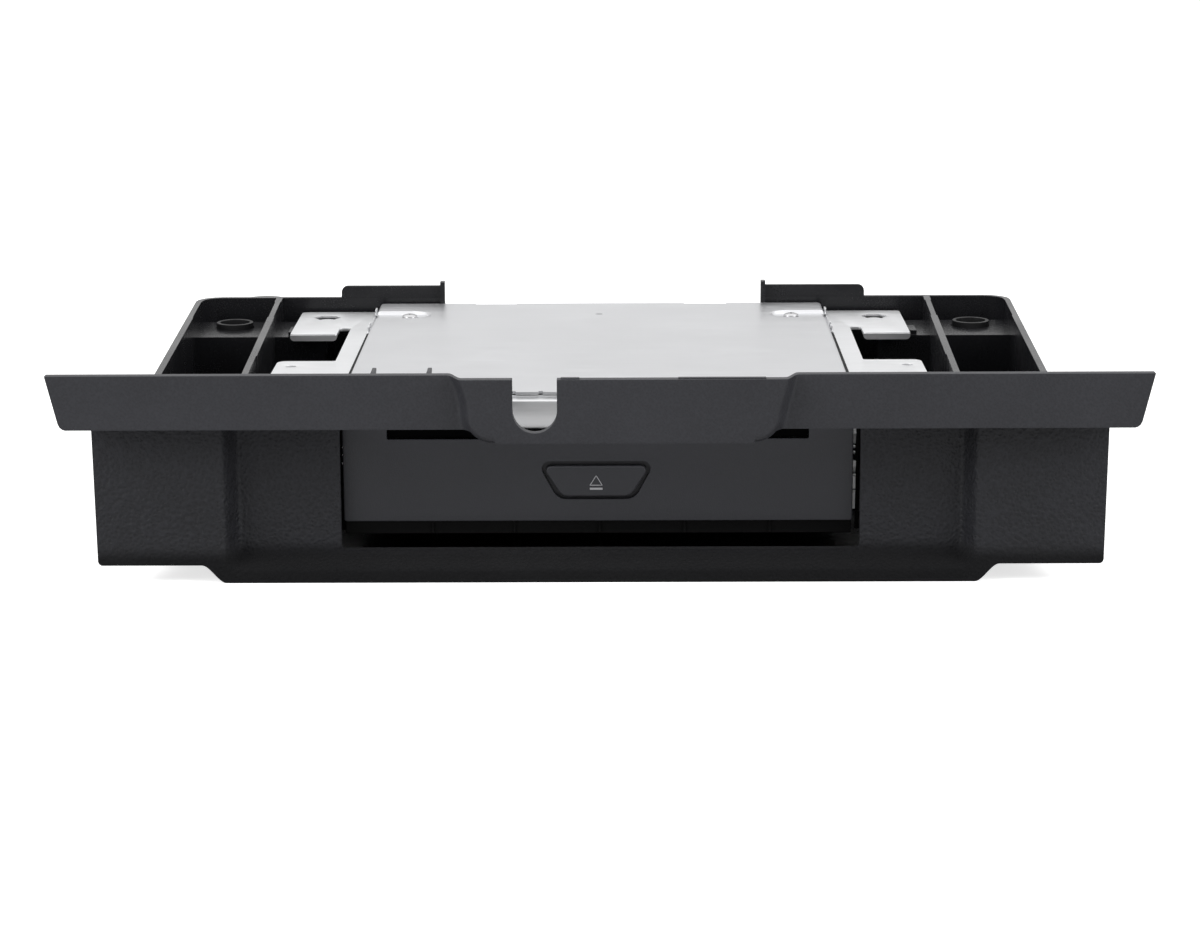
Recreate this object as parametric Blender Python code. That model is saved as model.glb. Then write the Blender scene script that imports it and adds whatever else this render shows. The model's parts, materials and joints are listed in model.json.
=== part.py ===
# A compact disc changer deck in its moulded console carrier.
# Sizes are metres. X runs across, Y away from the driver, Z up.
# The origin is under the middle of the whole object.

import math

import bmesh
import bpy
from mathutils import Vector

for old in list(bpy.data.objects):
    bpy.data.objects.remove(old, do_unlink=True)

# Clearances and shared values
gap = 0.0003
running_gap = 0.0005
overrun = 0.001
bond = 0.0008
round_steps = 4
sharp_degrees = 35

# Deck, the single height metal body
deck_width = 0.178
deck_depth = 0.184
deck_height = 0.050
sheet = 0.001
deck_offset = -0.0008
deck_under = 0.013
cover_overhang = 0.0006
cover_flange = 0.007

# Front fascia
skin = 0.0025
flange_overhang = 0.098
flange_width = deck_width + 2 * flange_overhang
flange_end_lean = 0.0045
flange_wall = 0.004
flange_rise = 0.0122
flange_height = 0.0187
flange_corner = 0.002
tongue_width = 0.113
tongue_lean = 0.0035
tongue_centre = 0.0082
tongue_step = 0.006
tongue_drop = 0.0037
tongue_corner = 0.009
notch_centre = -0.0217
notch_radius = 0.0075
notch_floor = 0.0188
plate_setback = 0.012
plate_overhang = 0.085
plate_width = deck_width + 2 * plate_overhang
plate_lean = 0.0008
plate_corner = 0.0015
wing_lift = 0.0063
lip_overhang = 0.040
lip_width = deck_width + 2 * lip_overhang
lip_slope = 0.008
lip_curve = 0.004
recess_depth = 0.008
recess_side = 0.0404
recess_width = deck_width + 2 * recess_side
recess_lean = 0.0048
recess_floor = 0.0044
recess_corner = 0.004
opening_room = 0.0008
opening_width = deck_width + 2 * opening_room
opening_floor = 0.010
opening_corner = 0.001
shelf_room = 0.003
shelf_inner = deck_width / 2 + shelf_room
shelf_margin = 0.004
gusset_places = (-0.077, -0.058)
gusset_wall = 0.0015
gusset_length = 0.014
gusset_drop = 0.001
boss_radius = 0.0032
boss_length = 0.006
boss_inset = 0.028
boss_heights = (0.018, 0.047)

# Moulded carrier behind the fascia
wall_rise = 0.0016
tub_side = 0.041
tub_width = deck_width + 2 * tub_side
divider_wall = 0.0026
divider_front_reach = 0.0375
divider_front_half = deck_width / 2 + divider_front_reach
divider_rear_reach = 0.0435
divider_rear_half = deck_width / 2 + divider_rear_reach
carrier_front_reach = 0.0680
carrier_front_half = deck_width / 2 + carrier_front_reach
carrier_rear_reach = 0.0755
carrier_rear_half = deck_width / 2 + carrier_rear_reach
carrier_corner = 0.010
rear_clearance = 0.0045
back_wall = 0.0025
raised_rise = 0.0063
raised_reach = 0.017
raised_outer = deck_width / 2 + raised_reach
raised_corner = 0.0025
rear_gap_half = 0.064
post_wall = 0.0018
post_rise = 0.0082
rear_gap_floor = 0.018
pip_radius = 0.009
pip_out = 0.0045
pip_reach = 0.048
pip_place = -deck_width / 2 - pip_reach
pip_height = 0.020
corner_boss_drop = 0.0065
corner_boss_back = 0.040
corner_boss_front = deck_depth - corner_boss_back
corner_boss_depth = 0.034
corner_boss_room = 0.0195
corner_boss_inner = deck_width / 2 + corner_boss_room
ledge_room = 0.014
ledge_inner = deck_width / 2 + ledge_room
ledge_depth = 0.060
pad_depth = 0.014
pad_width = 0.010
floor_rib_places = (-0.060, -0.030, 0.0, 0.031, 0.062)
floor_rib_height = 0.0016
sleeve_reach = 0.0578
sleeve_centre = deck_width / 2 + sleeve_reach
sleeve_back = 0.018
sleeve_depth_in_deck = deck_depth - sleeve_back
sleeve_radius = 0.0073
sleeve_bore = 0.0059
sleeve_stand = 0.0022
sleeve_length = 0.012
sleeve_wall = 0.0022

# Side brackets and screws
bracket_sheet = 0.0012
bracket_reach = 0.0090
bracket_drop = 0.0035
bracket_leg = 0.034
bracket_front = 0.004
bracket_inset = 0.0005
bracket_back = deck_depth - bracket_inset
rear_tab_reach = 0.0316
rear_tab_depth = 0.050
rear_tab_front = bracket_back - rear_tab_depth
front_tab_reach = 0.0304
front_tab_back = 0.0775
tab_corner = 0.0035
relief_size = (0.0035, 0.0060)
tab_hole_inset = (0.0205, 0.0132)
tab_hole = (deck_width / 2 + tab_hole_inset[0], deck_depth - tab_hole_inset[1])
tab_hole_size = (0.0086, 0.0110)
front_hole_inset = (0.0245, 0.067)
front_hole = (deck_width / 2 + front_hole_inset[0], front_hole_inset[1])
front_hole_radius = 0.002
screw_inset = (0.030, 0.034)
screw_places = (screw_inset[0], deck_depth - screw_inset[1])
screw_height = 0.025
screw_head_radius = 0.003
screw_head = 0.0016
screw_crown_share = 0.7
screw_radius = 0.0014
screw_clearance = 0.0004
screw_length = 0.0055
cover_screw_inset = 0.0135
cover_screw_back = 0.027
cover_screw_depth = deck_depth - cover_screw_back
pocket_size = (0.0215, 0.0155)
pocket_depth = 0.0012
corner_tab = 0.021

# Front panel and its button
panel_room = 0.0007
panel_width = deck_width - 2 * panel_room
panel_depth = 0.0083
panel_skin = 0.002
panel_gap = 0.0015
panel_bottom = 0.0059
panel_top = 0.0425
skirt_depth = 0.0035
slot_half = 0.073
slot_sill = 0.0348
slot_top = 0.0376
button_centre_z = 0.0201
button_place = -0.0006
button_top_width = 0.0366
button_bottom_width = 0.0250
button_height = 0.0117
button_corner = 0.0032
button_margin = 0.0012
button_pocket = 0.0012
button_proud = 0.0008
button_travel = 0.0007
button_rim = 0.001
board_half = 0.040
board_thick = 0.001
board_bottom = 0.0105
board_top = 0.030
switch_half = 0.003
switch_body = 0.0022
plunger_radius = 0.001

# Dust flap behind the disc slot
flap_half = 0.070
flap_axis_z = 0.0392
flap_axis_y = 0.0030
flap_barrel = 0.001
flap_wall = 0.0006
flap_bottom = 0.0336
flap_pin = 0.0005
flap_lug = 0.002

# Disc loading drive
disc_underside = 0.0356
roller_radius = 0.004
roller_half = 0.060
roller_y = 0.015
roller_shaft = 0.0012
gear_module = 0.0005
gear_width = 0.003
roller_teeth = 20
idler_teeth = 20
pinion_teeth = 10
gear_plane = 0.0700
frame_sheet = 0.0012
frame_half = 0.066
frame_back = 0.034
upright_front = 0.0095
upright_back = 0.0195
upright_top = 0.0385
upright_wall = 0.002
loading_motor_radius = 0.007
loading_motor_span = (0.036, 0.061)
guide_thick = 0.0012

# Disc store, six trays lifted by four posts
store_centre_y = 0.100
tray_count = 6
trays_below = 3
tray_thick = 0.0008
tray_pitch = 0.0023
tray_low_z = 0.0073
tray_radius = 0.0605
tray_hole = 0.017
tray_slot_half = 0.013
tray_slot_end = 0.057
tray_lug = 0.005
tray_arm_half = 0.004
post_radius = 0.0025
post_clearance = 0.0004
post_front = (0.068, 0.025)
post_rear = (0.040, 0.165)
post_bottom = 0.0013
post_top = 0.0486
pulley_radius = 0.005
pulley_z = (0.0015, 0.0045)
belt_thick = 0.001
belt_z = (0.0018, 0.0042)
lift_motor_place = (-0.020, 0.025)
lift_motor_radius = 0.008
lift_motor_height = 0.018
motor_shaft = 0.0008

# Swinging play arm, parked along the left side
arm_pivot = (-0.073, 0.165)
arm_half = 0.011
arm_plate_z = 0.023
arm_sheet = 0.0012
pivot_radius = 0.002
pivot_collar = 0.004
arm_shaft_top = 0.045
arm_gear_teeth = 26
swing_teeth = 12
swing_module = 0.0008
swing_gear_z = (0.0116, 0.0142)
swing_bearing_degrees = 20
swing_motor_radius = 0.0062
swing_motor_top = 0.0108
spindle_motor_radius = 0.0105
spindle_motor_height = 0.0072
turntable_radius = 0.0125
turntable_top = 0.031
hub_radius = 0.0073
sled_start = 0.024
sled_length = 0.015
sled_travel = 0.034
sled_half = 0.0095
sled_height = 0.0066
slot_in_arm_half = 0.006
lens_radius = 0.0035
lens_rise = 0.0045
rod_offset = 0.0072
rod_radius = 0.001
rod_z = 0.0190
rod_span = (0.0125, 0.067)
rod_lug = 0.0015
feed_motor_radius = 0.0036
feed_motor_length = 0.012

# Main board and rear socket
main_board_span = (-0.040, 0.082)
main_board_y = 0.1775
main_board_z = (0.008, 0.044)
socket_span = (-0.015, 0.025)
socket_z = (0.014, 0.034)
socket_out = 0.005
socket_wall = 0.0015

# Places worked out from the sizes above
total_depth = (tongue_step + plate_setback + recess_depth + skin + panel_gap + panel_depth + gap
               - cover_overhang + deck_depth + rear_clearance + back_wall + pip_out)
front_y = -total_depth / 2
flange_front_y = front_y + tongue_step
flange_back_y = flange_front_y + flange_wall
plate_front_y = flange_front_y + plate_setback
plate_back_y = plate_front_y + skin
recess_front_y = plate_front_y + recess_depth
recess_back_y = recess_front_y + skin
panel_front_y = recess_back_y + panel_gap
tub_front_y = panel_front_y + panel_depth + gap
deck_front_y = tub_front_y - cover_overhang
deck_back_y = deck_front_y + deck_depth
back_inner_y = deck_back_y + rear_clearance
back_outer_y = back_inner_y + back_wall
cover_top_z = deck_under + deck_height
flange_top_z = cover_top_z + flange_rise
flange_bottom_z = flange_top_z - flange_height
wall_top_z = cover_top_z + wall_rise
corner_boss_z = cover_top_z - corner_boss_drop
half_deck = deck_width / 2
arm_length = math.dist(arm_pivot, (0, store_centre_y))

colours = {
    "console_plastic": ((0.035, 0.036, 0.041), 0.55, 0.0),
    "carrier_plastic": ((0.018, 0.018, 0.020), 0.60, 0.0),
    "panel_plastic": ((0.033, 0.034, 0.038), 0.50, 0.0),
    "button_plastic": ((0.036, 0.037, 0.041), 0.40, 0.0),
    "zinc_sheet": ((0.62, 0.62, 0.63), 0.32, 1.0),
    "steel": ((0.45, 0.45, 0.46), 0.30, 1.0),
    "motor_can": ((0.50, 0.50, 0.51), 0.35, 1.0),
    "white_plastic": ((0.70, 0.70, 0.68), 0.45, 0.0),
    "black_plastic": ((0.015, 0.015, 0.016), 0.50, 0.0),
    "rubber": ((0.012, 0.012, 0.013), 0.80, 0.0),
    "circuit_board": ((0.020, 0.110, 0.040), 0.45, 0.0),
    "lens_glass": ((0.10, 0.12, 0.22), 0.08, 0.0),
}


def finish(name):
    """The plain material of that name, made once."""
    made = bpy.data.materials.get(name)
    if made:
        return made
    colour, rough, metal = colours[name]
    made = bpy.data.materials.new(name)
    made.use_nodes = True
    shader = made.node_tree.nodes["Principled BSDF"]
    shader.inputs["Base Color"].default_value = (*colour, 1.0)
    shader.inputs["Roughness"].default_value = rough
    shader.inputs["Metallic"].default_value = metal
    return made


def place_empty(name, location, parent=None):
    """An empty that carries pieces, at a place in its parent's frame."""
    holder = bpy.data.objects.new(name, None)
    holder.location = location
    holder.parent = parent
    bpy.context.collection.objects.link(holder)
    return holder


deck = place_empty("deck_place", (deck_offset, deck_front_y, deck_under))


def add_piece(name, shape, surface, parent=None):
    """Make an object from a bmesh whose points are in the parent's frame."""
    bmesh.ops.recalc_face_normals(shape, faces=shape.faces)
    mesh = bpy.data.meshes.new(name)
    shape.to_mesh(mesh)
    shape.free()
    piece = bpy.data.objects.new(name, mesh)
    piece.parent = parent
    piece.data.materials.append(finish(surface))
    bpy.context.collection.objects.link(piece)
    return piece


def combine(target, shape, operation, parent=None):
    """Cut a shape out of a piece, or join it on, with a live Boolean."""
    name = f"{target.name}_{operation.lower()}_{len(target.modifiers)}"
    tool = add_piece(name, shape, "steel", parent if parent else target.parent)
    tool.hide_render = True
    tool.display_type = "WIRE"
    step = target.modifiers.new(name, "BOOLEAN")
    step.operation = operation
    step.object = tool
    step.solver = "EXACT"


def block(low, high, shape=None):
    """A box between two corners, added to a bmesh."""
    shape = shape if shape is not None else bmesh.new()
    made = bmesh.ops.create_cube(shape, size=1.0)["verts"]
    size = [b - a for a, b in zip(low, high)]
    middle = [(a + b) / 2 for a, b in zip(low, high)]
    bmesh.ops.scale(shape, verts=made, vec=size)
    bmesh.ops.translate(shape, verts=made, vec=middle)
    return shape


def outline(corners):
    """Points of a closed outline from (x, y, radius) corners, each rounded by its own arc."""
    points = []
    count = len(corners)
    for index, (x, y, radius) in enumerate(corners):
        here = Vector((x, y))
        if radius <= 0:
            points.append(here)
            continue
        before = (Vector(corners[index - 1][:2]) - here).normalized()
        after = (Vector(corners[(index + 1) % count][:2]) - here).normalized()
        half = before.angle(after) / 2
        reach = radius / math.tan(half)
        centre = here + (before + after).normalized() * radius / math.sin(half)
        start = (here + before * reach - centre).normalized()
        end = (here + after * reach - centre).normalized()
        for step in range(round_steps + 1):
            share = step / round_steps
            points.append(centre + start.slerp(end, share) * radius)
    return points


frames = {
    "x": lambda u, v, w: (w, u, v),
    "y": lambda u, v, w: (u, w, v),
    "z": lambda u, v, w: (u, v, w),
}


def prism(points, axis, low, high, shape=None, end_points=None):
    """Extrude an outline along an axis from low to high, to a second outline if one is given."""
    shape = shape if shape is not None else bmesh.new()
    put = frames[axis]
    first = [shape.verts.new(put(u, v, low)) for u, v in points]
    bottom = shape.faces.new(first)
    pulled = bmesh.ops.extrude_face_region(shape, geom=[bottom])["geom"]
    top = [item for item in pulled if isinstance(item, bmesh.types.BMVert)]
    bmesh.ops.translate(shape, verts=top, vec=Vector(put(0, 0, high - low)))
    if end_points:
        for vertex in top:
            near = min(range(len(points)),
                       key=lambda i: (vertex.co - Vector(put(*points[i], high))).length)
            vertex.co = Vector(put(*end_points[near], high))
    return shape


def ring_points(radius, steps, centre=(0, 0)):
    """Points round a circle."""
    turn = 2 * math.pi / steps
    return [(centre[0] + radius * math.cos(i * turn), centre[1] + radius * math.sin(i * turn))
            for i in range(steps)]


def rod(centre, radius, axis, low, high, steps=20, shape=None):
    """A round bar along an axis."""
    return prism(ring_points(radius, steps, centre), axis, low, high, shape)


def gear_points(teeth, module, centre):
    """Outline of a spur gear, with a flat on each tooth and a flat between teeth."""
    root_share, tip_share = 1.25, 0.95
    pitch = teeth * module / 2
    shares = ((-0.30, -root_share), (-0.14, tip_share), (0.14, tip_share), (0.30, -root_share))
    points = []
    for tooth in range(teeth):
        for turn_share, depth_share in shares:
            angle = 2 * math.pi * (tooth + turn_share) / teeth
            radius = pitch + module * depth_share
            points.append((centre[0] + radius * math.cos(angle), centre[1] + radius * math.sin(angle)))
    return points


def fascia():
    """The grained front moulding: flange, tongue, wing plate, recess and opening."""
    top, low = flange_top_z, flange_bottom_z
    half = flange_width / 2
    foot = half - flange_end_lean
    points = outline([(-half, top, 0), (-foot, low, flange_corner), (foot, low, flange_corner),
                      (half, top, 0)])
    piece = add_piece("fascia", prism(points, "y", flange_front_y, flange_back_y), "console_plastic")

    def tongue_outline(inset):
        wide = tongue_width / 2 - inset
        narrow = wide - tongue_lean
        base = low - tongue_drop + inset
        bend = tongue_corner - inset / 2
        return outline([(tongue_centre - wide, top + (overrun if inset else 0), 0),
                        (tongue_centre - narrow, base, bend), (tongue_centre + narrow, base, bend),
                        (tongue_centre + wide, top + (overrun if inset else 0), 0)])

    combine(piece, prism(tongue_outline(0), "y", front_y, flange_back_y), "UNION")
    combine(piece, prism(tongue_outline(flange_wall), "y", front_y + flange_wall,
                         flange_back_y + overrun), "DIFFERENCE")
    notch_bottom = top - notch_floor
    notch = outline([(notch_centre - notch_radius, top + overrun, 0),
                     (notch_centre - notch_radius, notch_bottom, notch_radius - gap),
                     (notch_centre + notch_radius, notch_bottom, notch_radius - gap),
                     (notch_centre + notch_radius, top + overrun, 0)])
    combine(piece, prism(notch, "y", front_y - overrun, flange_back_y + overrun), "DIFFERENCE")

    plate_half = plate_width / 2
    plate_foot = plate_half - plate_lean
    lip_half = lip_width / 2
    step = lip_half + lip_slope
    plate = outline([(-plate_half, wall_top_z, 0), (-plate_foot, wing_lift, plate_corner),
                     (-step, wing_lift, lip_curve), (-lip_half, 0, lip_curve),
                     (lip_half, 0, lip_curve), (step, wing_lift, lip_curve),
                     (plate_foot, wing_lift, plate_corner), (plate_half, wall_top_z, 0)])
    front = prism(plate, "y", plate_front_y, plate_back_y)
    recess_half = recess_width / 2
    combine(piece, front, "UNION")
    shell = block((-recess_half - skin, plate_front_y + bond, recess_floor - skin),
                  (recess_half + skin, recess_back_y, wall_top_z))
    combine(piece, shell, "UNION")

    def recess_outline(lean):
        wide, base = recess_half - lean, recess_floor + lean
        return outline([(-wide, wall_top_z + overrun, 0), (-wide, base, recess_corner),
                        (wide, base, recess_corner), (wide, wall_top_z + overrun, 0)])

    combine(piece, prism(recess_outline(0), "y", plate_front_y - overrun, recess_front_y,
                         end_points=recess_outline(recess_lean)), "DIFFERENCE")
    wide = opening_width / 2
    window = outline([(-wide, wall_top_z + overrun, 0), (-wide, opening_floor, opening_corner),
                      (wide, opening_floor, opening_corner), (wide, wall_top_z + overrun, 0)])
    combine(piece, prism(window, "y", recess_front_y - bond, recess_back_y + overrun), "DIFFERENCE")
    for side in (-1, 1):
        near, far = sorted((side * shelf_inner, side * (plate_half - shelf_margin)))
        shelf = block((near, flange_back_y - bond, wall_top_z - skin),
                      (far, plate_back_y - bond, wall_top_z - gap))
        near, far = sorted((side * shelf_inner, side * (recess_half - recess_lean / 2)))
        combine(piece, shelf, "UNION")
        bridge = block((near, plate_front_y - skin, wall_top_z - 2 * skin),
                       (far, recess_back_y - bond, wall_top_z - skin + bond))
        combine(piece, bridge, "UNION")
        for height in boss_heights:
            place = (side * (plate_half - boss_inset), height)
            combine(piece, rod(place, boss_radius, "y", plate_back_y - bond,
                               plate_back_y + boss_length), "UNION")
            combine(piece, rod(place, screw_radius + screw_clearance, "y", plate_back_y - bond,
                               plate_back_y + boss_length + overrun, steps=12), "DIFFERENCE")
    for place in gusset_places:
        rib = prism([(flange_back_y - bond, low + gusset_length), (flange_back_y - bond, top - gusset_drop),
                     (flange_back_y + gusset_length, top - gusset_drop)],
                    "x", place - gusset_wall / 2, place + gusset_wall / 2)
        combine(piece, rib, "UNION")
    return piece


def carrier():
    """The tray moulding: deep tub, side pockets, walls, bosses and ledges."""
    pocket_front_y = plate_back_y + gap
    tub_half = tub_width / 2
    tub_front = recess_back_y + gap
    splay = (divider_rear_half - divider_front_half) / (back_inner_y - tub_front)

    def rib_at(y):
        return divider_front_half + splay * (y - tub_front)

    corner = carrier_corner
    block_half = recess_width / 2 + skin + gap
    plan = outline([(-carrier_front_half, pocket_front_y, 0), (carrier_front_half, pocket_front_y, 0),
                    (carrier_rear_half, back_outer_y, corner), (-carrier_rear_half, back_outer_y, corner)])
    piece = add_piece("carrier_tray", prism(plan, "z", wing_lift, wall_top_z), "carrier_plastic")
    combine(piece, block((-tub_half, tub_front, 0), (tub_half, back_outer_y - gap, wing_lift + bond)),
            "UNION")
    combine(piece, block((-block_half, pocket_front_y - overrun, -overrun),
                         (block_half, tub_front, wall_top_z + overrun)), "DIFFERENCE")
    boss_front = deck_front_y + corner_boss_front
    boss_back = boss_front + corner_boss_depth
    ledge_back = deck_front_y + ledge_depth
    top = wall_top_z + overrun
    ledge_top = cover_top_z - bracket_drop - bracket_sheet - gap
    for side in (-1, 1):
        wall_front = carrier_front_half - skin
        wall_rear = carrier_rear_half - skin
        rear = (carrier_rear_half - carrier_front_half) / (back_outer_y - pocket_front_y)

        def wall_at(y):
            return wall_front + rear * (y - pocket_front_y)

        first_y = pocket_front_y + skin
        deep = [(rib_at(tub_front), tub_front, 0), (block_half + skin, tub_front, 0),
                (block_half + skin, first_y, 0), (wall_at(first_y), first_y, 0),
                (wall_at(boss_front), boss_front, 0), (rib_at(boss_front), boss_front, 0)]
        combine(piece, prism([(side * p[0], p[1]) for p in outline(deep)], "z", wing_lift + skin, top),
                "DIFFERENCE")
        behind = [(rib_at(boss_back), boss_back, 0), (wall_at(boss_back), boss_back, 0),
                  (wall_rear, back_inner_y, corner - skin), (rib_at(back_inner_y), back_inner_y, 0)]
        combine(piece, prism([(side * p[0], p[1]) for p in outline(behind)], "z", wing_lift + skin, top),
                "DIFFERENCE")
        low, high = boss_front - bond, boss_back + bond
        over = [(rib_at(low) - gap, low), (wall_at(low) + gap, low), (wall_at(high) + gap, high),
                (rib_at(high) - gap, high)]
        combine(piece, prism([(side * x, y) for x, y in over], "z", corner_boss_z, top), "DIFFERENCE")
    floor = skin
    well_inner = divider_front_half - divider_wall

    def inner_at(y):
        return rib_at(y) - divider_wall

    def both_sides(edge):
        return edge + [(-x, y) for x, y in reversed(edge)]

    deep = [(ledge_inner, tub_front - overrun), (ledge_inner, ledge_back), (well_inner, ledge_back),
            (well_inner, boss_front), (corner_boss_inner, boss_front), (corner_boss_inner, boss_back),
            (well_inner, boss_back), (well_inner, back_inner_y)]
    combine(piece, prism(both_sides(deep), "z", floor, wing_lift + skin + bond), "DIFFERENCE")
    high = [(ledge_inner, tub_front - overrun), (ledge_inner, ledge_back),
            (inner_at(ledge_back), ledge_back),
            (inner_at(boss_front), boss_front), (corner_boss_inner, boss_front),
            (corner_boss_inner, boss_back), (inner_at(boss_back), boss_back),
            (inner_at(back_inner_y), back_inner_y)]
    combine(piece, prism(both_sides(high), "z", wing_lift + skin, top), "DIFFERENCE")
    low, high = tub_front - overrun, ledge_back + bond
    over = [(inner_at(low) + gap, low), (inner_at(high) + gap, high)]
    combine(piece, prism(both_sides(over), "z", ledge_top, top), "DIFFERENCE")
    low, high = boss_front - bond, boss_back + bond
    over = [(inner_at(low) + gap, low), (inner_at(high) + gap, high)]
    combine(piece, prism(both_sides(over), "z", corner_boss_z, top), "DIFFERENCE")
    for side in (-1, 1):
        def hollow(x_low, x_high, y_low, y_high, ceiling):
            near, far = sorted((side * x_low, side * x_high))
            combine(piece, block((near, y_low, -overrun), (far, y_high, ceiling)), "DIFFERENCE")

        hollow(ledge_inner + skin, divider_front_half - skin, tub_front + skin, ledge_back - skin,
               ledge_top - skin)
        hollow(corner_boss_inner + skin, rib_at(boss_front) - skin, boss_front + skin, boss_back - skin,
               corner_boss_z - skin)
        hollow(divider_rear_half + skin, carrier_rear_half - 3 * skin, boss_front + skin, boss_back - skin,
               corner_boss_z - skin)
        centre = (side * sleeve_centre, deck_front_y + sleeve_depth_in_deck)
        bore = sleeve_radius + gap
        combine(piece, rod(centre, bore + sleeve_wall, "z", corner_boss_z - skin - sleeve_length,
                           corner_boss_z - bond, steps=24), "UNION")
        combine(piece, rod(centre, bore, "z", corner_boss_z - sleeve_length,
                           corner_boss_z + overrun, steps=24), "DIFFERENCE")
        combine(piece, rod(centre, sleeve_bore, "z", corner_boss_z - skin - sleeve_length - overrun,
                           corner_boss_z, steps=24), "DIFFERENCE")
        pad_x = side * (corner_boss_inner + pad_width)
        combine(piece, block((pad_x - pad_width / 2, boss_front + skin, corner_boss_z - bond),
                             (pad_x + pad_width / 2, boss_front + pad_depth, ledge_top)), "UNION")
        high = cover_top_z + raised_rise
        raised = outline([(rear_gap_half, wall_top_z - skin, 0), (raised_outer, wall_top_z - skin, 0),
                          (raised_outer, high, raised_corner), (rear_gap_half, high, 0)])
        combine(piece, prism([(side * x, z) for x, z in raised], "y", back_inner_y + gap,
                             back_outer_y - gap), "UNION")
        near, far = sorted((side * rear_gap_half, side * (rear_gap_half + post_wall)))
        combine(piece, block((near, back_inner_y - back_wall, wall_top_z - skin),
                             (far, back_outer_y - 2 * gap, cover_top_z + post_rise)), "UNION")
        for height in boss_heights:
            place = (side * (plate_width / 2 - boss_inset), height)
            combine(piece, rod(place, boss_radius + gap, "y", pocket_front_y - overrun,
                               pocket_front_y + skin + overrun), "DIFFERENCE")
    combine(piece, block((-rear_gap_half, back_inner_y - overrun, rear_gap_floor),
                         (rear_gap_half, back_outer_y + overrun, top + post_rise)), "DIFFERENCE")
    pip = [(x, max(y, back_inner_y + gap))
           for x, y in ring_points(pip_radius, 32, (pip_place, back_outer_y - pip_radius + pip_out))]
    combine(piece, prism(pip, "z", wall_top_z - pip_height, wall_top_z - gap), "UNION")
    for place in floor_rib_places:
        combine(piece, block((place - gusset_wall / 2, tub_front + skin, floor - bond),
                             (place + gusset_wall / 2, back_inner_y - skin, floor + floor_rib_height)),
                "UNION")
    return piece


def mirrored(low, high, side):
    """The two corners of a box moved to one side of the middle."""
    near, far = sorted((side * low[0], side * high[0]))
    return (near, *low[1:]), (far, *high[1:])


def corner_pocket(side, inset):
    """Plan of the sunken screw pocket in a rear corner of the cover, open towards the side."""
    middle = side * (half_deck - cover_screw_inset)
    length, depth = pocket_size
    tip = half_deck - length + inset
    low = cover_screw_depth - depth / 2 + inset
    high = cover_screw_depth + depth / 2 - inset
    plan = outline([(tip, low, depth / 3), (tip, high, depth / 3),
                    (half_deck - sheet - inset, high, 0), (half_deck - sheet - inset, low, 0)])
    return middle, [(side * x, y) for x, y in plan]


def chassis():
    """The steel tub: floor, walls, slot, flap lugs and corner tabs, in the deck's frame."""
    half = half_deck - sheet - gap
    back = deck_depth - sheet - gap
    top = deck_height - sheet - gap
    piece = add_piece("chassis_tub", block((-half, cover_overhang, 0), (half, back, top)), "zinc_sheet",
                      deck)
    combine(piece, block((-half + sheet, cover_overhang + sheet, sheet),
                         (half - sheet, back - sheet, top + overrun)), "DIFFERENCE")
    combine(piece, block((-slot_half, cover_overhang - overrun, slot_sill),
                         (slot_half, cover_overhang + sheet + overrun, slot_top)), "DIFFERENCE")
    combine(piece, block((socket_span[0] - gap, back - sheet - overrun, socket_z[0] - gap),
                         (socket_span[1] + gap, back + overrun, socket_z[1] + gap)), "DIFFERENCE")
    tab_top = deck_height - sheet - pocket_depth - gap
    for side in (-1, 1):
        lug = block(*mirrored((flap_half + flap_lug - gap, cover_overhang + sheet / 2,
                               flap_axis_z - 2 * flap_barrel),
                              (flap_half + 2 * flap_lug, flap_axis_y + 2 * flap_barrel,
                               flap_axis_z + 2 * flap_barrel), side))
        combine(piece, lug, "UNION")
        near, far = sorted((side * (flap_half + gap), side * (flap_half + 2 * flap_lug + overrun)))
        combine(piece, rod((flap_axis_y, flap_axis_z), flap_pin + gap, "x", near, far, steps=12),
                "DIFFERENCE")
        tab = block(*mirrored((half - corner_tab, cover_screw_depth - pocket_size[1] / 2,
                               tab_top - sheet),
                              (half - sheet / 2, cover_screw_depth + pocket_size[1] / 2, tab_top), side))
        combine(piece, tab, "UNION")
        reach = pocket_size[1] / 2 + sheet
        notch = block(*mirrored((half - 2 * sheet, cover_screw_depth - reach, tab_top),
                                (half + overrun, cover_screw_depth + reach, top + overrun), side))
        combine(piece, notch, "DIFFERENCE")
        place = (side * (half_deck - cover_screw_inset), cover_screw_depth)
        combine(piece, rod(place, screw_radius + screw_clearance, "z", tab_top - 2 * sheet,
                           tab_top + overrun, steps=12), "DIFFERENCE")
        for y in screw_places:
            near, far = sorted((side * (half - 2 * sheet), side * (half + overrun)))
            combine(piece, rod((y, screw_height), screw_radius + screw_clearance, "x", near, far,
                               steps=12), "DIFFERENCE")
    return piece


def cover():
    """The flat lid with turned down sides and two sunken screw pockets."""
    top = deck_height
    piece = add_piece("top_cover", block((-half_deck, 0, top - cover_flange), (half_deck, deck_depth, top)),
                      "zinc_sheet", deck)
    combine(piece, block((-half_deck + sheet, -overrun, top - cover_flange - overrun),
                         (half_deck - sheet, deck_depth - sheet, top - sheet)), "DIFFERENCE")
    for side in (-1, 1):
        middle, plan = corner_pocket(side, -sheet / 2)
        combine(piece, prism(plan, "z", top - sheet - pocket_depth, top - sheet + bond / 2), "UNION")
        middle, plan = corner_pocket(side, sheet / 2)
        combine(piece, prism(plan, "z", top - pocket_depth, top + overrun), "DIFFERENCE")
        combine(piece, rod((middle, cover_screw_depth), screw_radius + screw_clearance, "z",
                           top - 2 * sheet - pocket_depth, top + overrun, steps=12), "DIFFERENCE")
    return piece


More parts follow.
